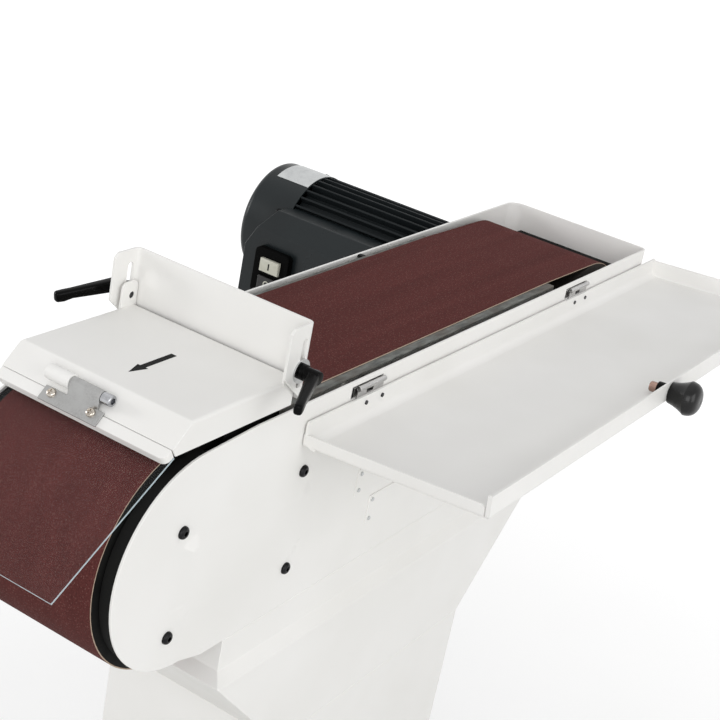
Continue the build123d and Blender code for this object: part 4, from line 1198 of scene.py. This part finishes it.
@dataclass
class Studio:
    """Pale floor, soft lamps and surroundings.

    The floor shows its shadows up to the first length of seen_reach and fades to almost plain white at the
    second; seen_white gives the share of white at the two.
    """

    floor_size: float = 60.0
    floor_drop: float = 0.5
    floor_colour: str = "D0D0CE"
    tooth: float = 400.0
    tooth_tone: tuple[float, float] = (0.97, 1.0)
    seen_colour: str = "FBFBFB"
    seen_reach: tuple[float, float] = (0.7, 2.4)
    seen_white: tuple[float, float] = (0.3, 0.92)
    seen_level: float = 1.2
    ambient: float = 0.58
    aim: Triple = (330.0, 0.0, -60.0)
    lamps: tuple[Softbox, ...] = (
        Softbox("front_softbox", (-0.6, -3.4, 1.9), 2.2, 37.0),
        Softbox("camera_softbox", (-4.6, -2.3, 2.5), 3.0, 88.0),
        Softbox("top_softbox", (0.3, 0.2, 3.3), 2.6, 4.0),
        Softbox("rim_softbox", (-1.3, 2.9, 1.5), 0.8, 26.0),
    )

    def build(self) -> None:
        """Set up the floor, the world and the lamps."""
        bpy.ops.mesh.primitive_plane_add(size=self.floor_size, location=(0, 0, -self.floor_drop * MM))
        floor = named("studio_floor")
        floor.data.materials.append(self.floor_material())
        self.surround()
        for lamp in self.lamps:
            lamp.hang(DATUM.point(*self.aim))

    def floor_material(self) -> bpy.types.Material:
        """Make matt paper that reads as white where it is seen and still takes shadows.

        Returns:
            The paper's material.
        """
        material = bpy.data.materials.new("studio_paper")
        material.use_nodes = True
        tree = material.node_tree
        tree.nodes.clear()
        place = add_node(tree, "ShaderNodeTexCoord").outputs["Object"]
        tooth = mottle(tree, place, self.tooth, *self.tooth_tone)
        rays = self.seen_rays(tree)
        shown = add_node(tree, "ShaderNodeMix", {0: rays, 6: linear(self.floor_colour),
                                                 7: linear(self.seen_colour)}, data_type="RGBA")
        tone = add_node(tree, "ShaderNodeMix", {0: tooth, 6: (0, 0, 0, 1), 7: shown.outputs[2]},
                        data_type="RGBA")
        paper = add_node(tree, "ShaderNodeBsdfDiffuse", {"Color": tone.outputs[2]})
        white = add_node(tree, "ShaderNodeEmission", {"Color": (1, 1, 1, 1), "Strength": self.seen_level})
        away = add_node(tree, "ShaderNodeVectorMath", {0: place}, operation="LENGTH").outputs["Value"]
        (near, far), (least, most) = self.seen_reach, self.seen_white
        share = add_node(tree, "ShaderNodeMapRange", {"Value": away, "From Min": near, "From Max": far,
                                                      "To Min": least, "To Max": most})
        seen = add_node(tree, "ShaderNodeMath", {0: rays, 1: share.outputs[0]}, operation="MULTIPLY")
        mix = add_node(tree, "ShaderNodeMixShader", {0: seen.outputs[0], 1: paper.outputs[0],
                                                     2: white.outputs[0]})
        add_node(tree, "ShaderNodeOutputMaterial", {"Surface": mix.outputs[0]})
        return material

    def seen_rays(self, tree: Tree) -> Socket:
        """Tell the rays that show the surroundings, straight or in gloss and glass.

        Args:
            tree: Node tree to add to.

        Returns:
            A value that is one for those rays.
        """
        rays = add_node(tree, "ShaderNodeLightPath")
        pair = add_node(tree, "ShaderNodeMath", {0: rays.outputs["Is Camera Ray"],
                                                 1: rays.outputs["Is Glossy Ray"]}, operation="MAXIMUM")
        return add_node(tree, "ShaderNodeMath", {0: pair.outputs[0], 1: rays.outputs["Is Transmission Ray"]},
                        operation="MAXIMUM").outputs[0]

    def surround(self) -> None:
        """Light the room evenly and show it white."""
        world = bpy.data.worlds.new("studio_room")
        bpy.context.scene.world = world
        world.use_nodes = True
        tree = world.node_tree
        tree.nodes.clear()
        level = add_node(tree, "ShaderNodeMapRange", {"Value": self.seen_rays(tree), "To Min": self.ambient,
                                                      "To Max": 1.0})
        room = add_node(tree, "ShaderNodeBackground", {"Color": (1, 1, 1, 1),
                                                       "Strength": level.outputs["Result"]})
        add_node(tree, "ShaderNodeOutputWorld", {"Surface": room.outputs[0]})


@dataclass
class PhotoCamera:
    """Camera at the photograph's place, in degrees and millimetres, with its focal length in pixels."""

    place: Triple = (-880.43, -692.71, 541.63)
    azimuth: float = -60.77
    elevation: float = 22.98
    roll: float = -11.27
    focal_pixels: float = 1583.18
    image_pixels: float = 720.0
    sensor: float = 36.0

    def build(self) -> None:
        """Add the camera and make it the scene's own."""
        azimuth, elevation = math.radians(self.azimuth), math.radians(self.elevation)
        back = Vector((math.sin(azimuth) * math.cos(elevation), -math.cos(azimuth) * math.cos(elevation),
                       math.sin(elevation)))
        level = (-back).cross(Vector((0, 0, 1))).normalized()
        down = (-back).cross(level)
        roll = math.radians(self.roll)
        right = math.cos(roll) * level + math.sin(roll) * down
        low = -math.sin(roll) * level + math.cos(roll) * down
        turn = Matrix((right, -low, back)).transposed().to_4x4()
        lens = bpy.data.cameras.new("photo_camera")
        lens.sensor_width = self.sensor
        lens.lens = self.focal_pixels / self.image_pixels * self.sensor
        camera = bpy.data.objects.new("photo_camera", lens)
        bpy.context.collection.objects.link(camera)
        camera.matrix_world = Matrix.Translation(DATUM.point(*self.place)) @ turn
        bpy.context.scene.camera = camera


def dress_solids() -> None:
    """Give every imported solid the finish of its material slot."""
    for name, node in frame["nodes"].items():
        for place in node.material_slots:
            place.material = NODE_FINISHES[name].material()
    LOG.info("%d solids dressed", len(frame["nodes"]))


def main() -> None:
    """Build every assembly in order."""
    logging.basicConfig(level=logging.INFO, format="%(name)s: %(message)s")
    bpy.context.scene.view_settings.view_transform = "Standard"
    dress_solids()
    SheetWork().build()
    Fasteners().build()
    ClampLever("front_clamping_lever", Body.FRONT_LEVER, "front_lever", sign=-1, tip=(52.5, -126.0, 29.0),
               root_z=34.0).build()
    ClampLever("rear_clamping_lever", Body.REAR_LEVER, "rear_lever", sign=1, tip=(51.0, 124.0, 31.0),
               root_z=37.5).build()
    KnobFixing().build()
    DirectionArrow().build()
    SwitchMarks().build()
    Studio().build()
    PhotoCamera().build()


if __name__ == "__main__":
    main()
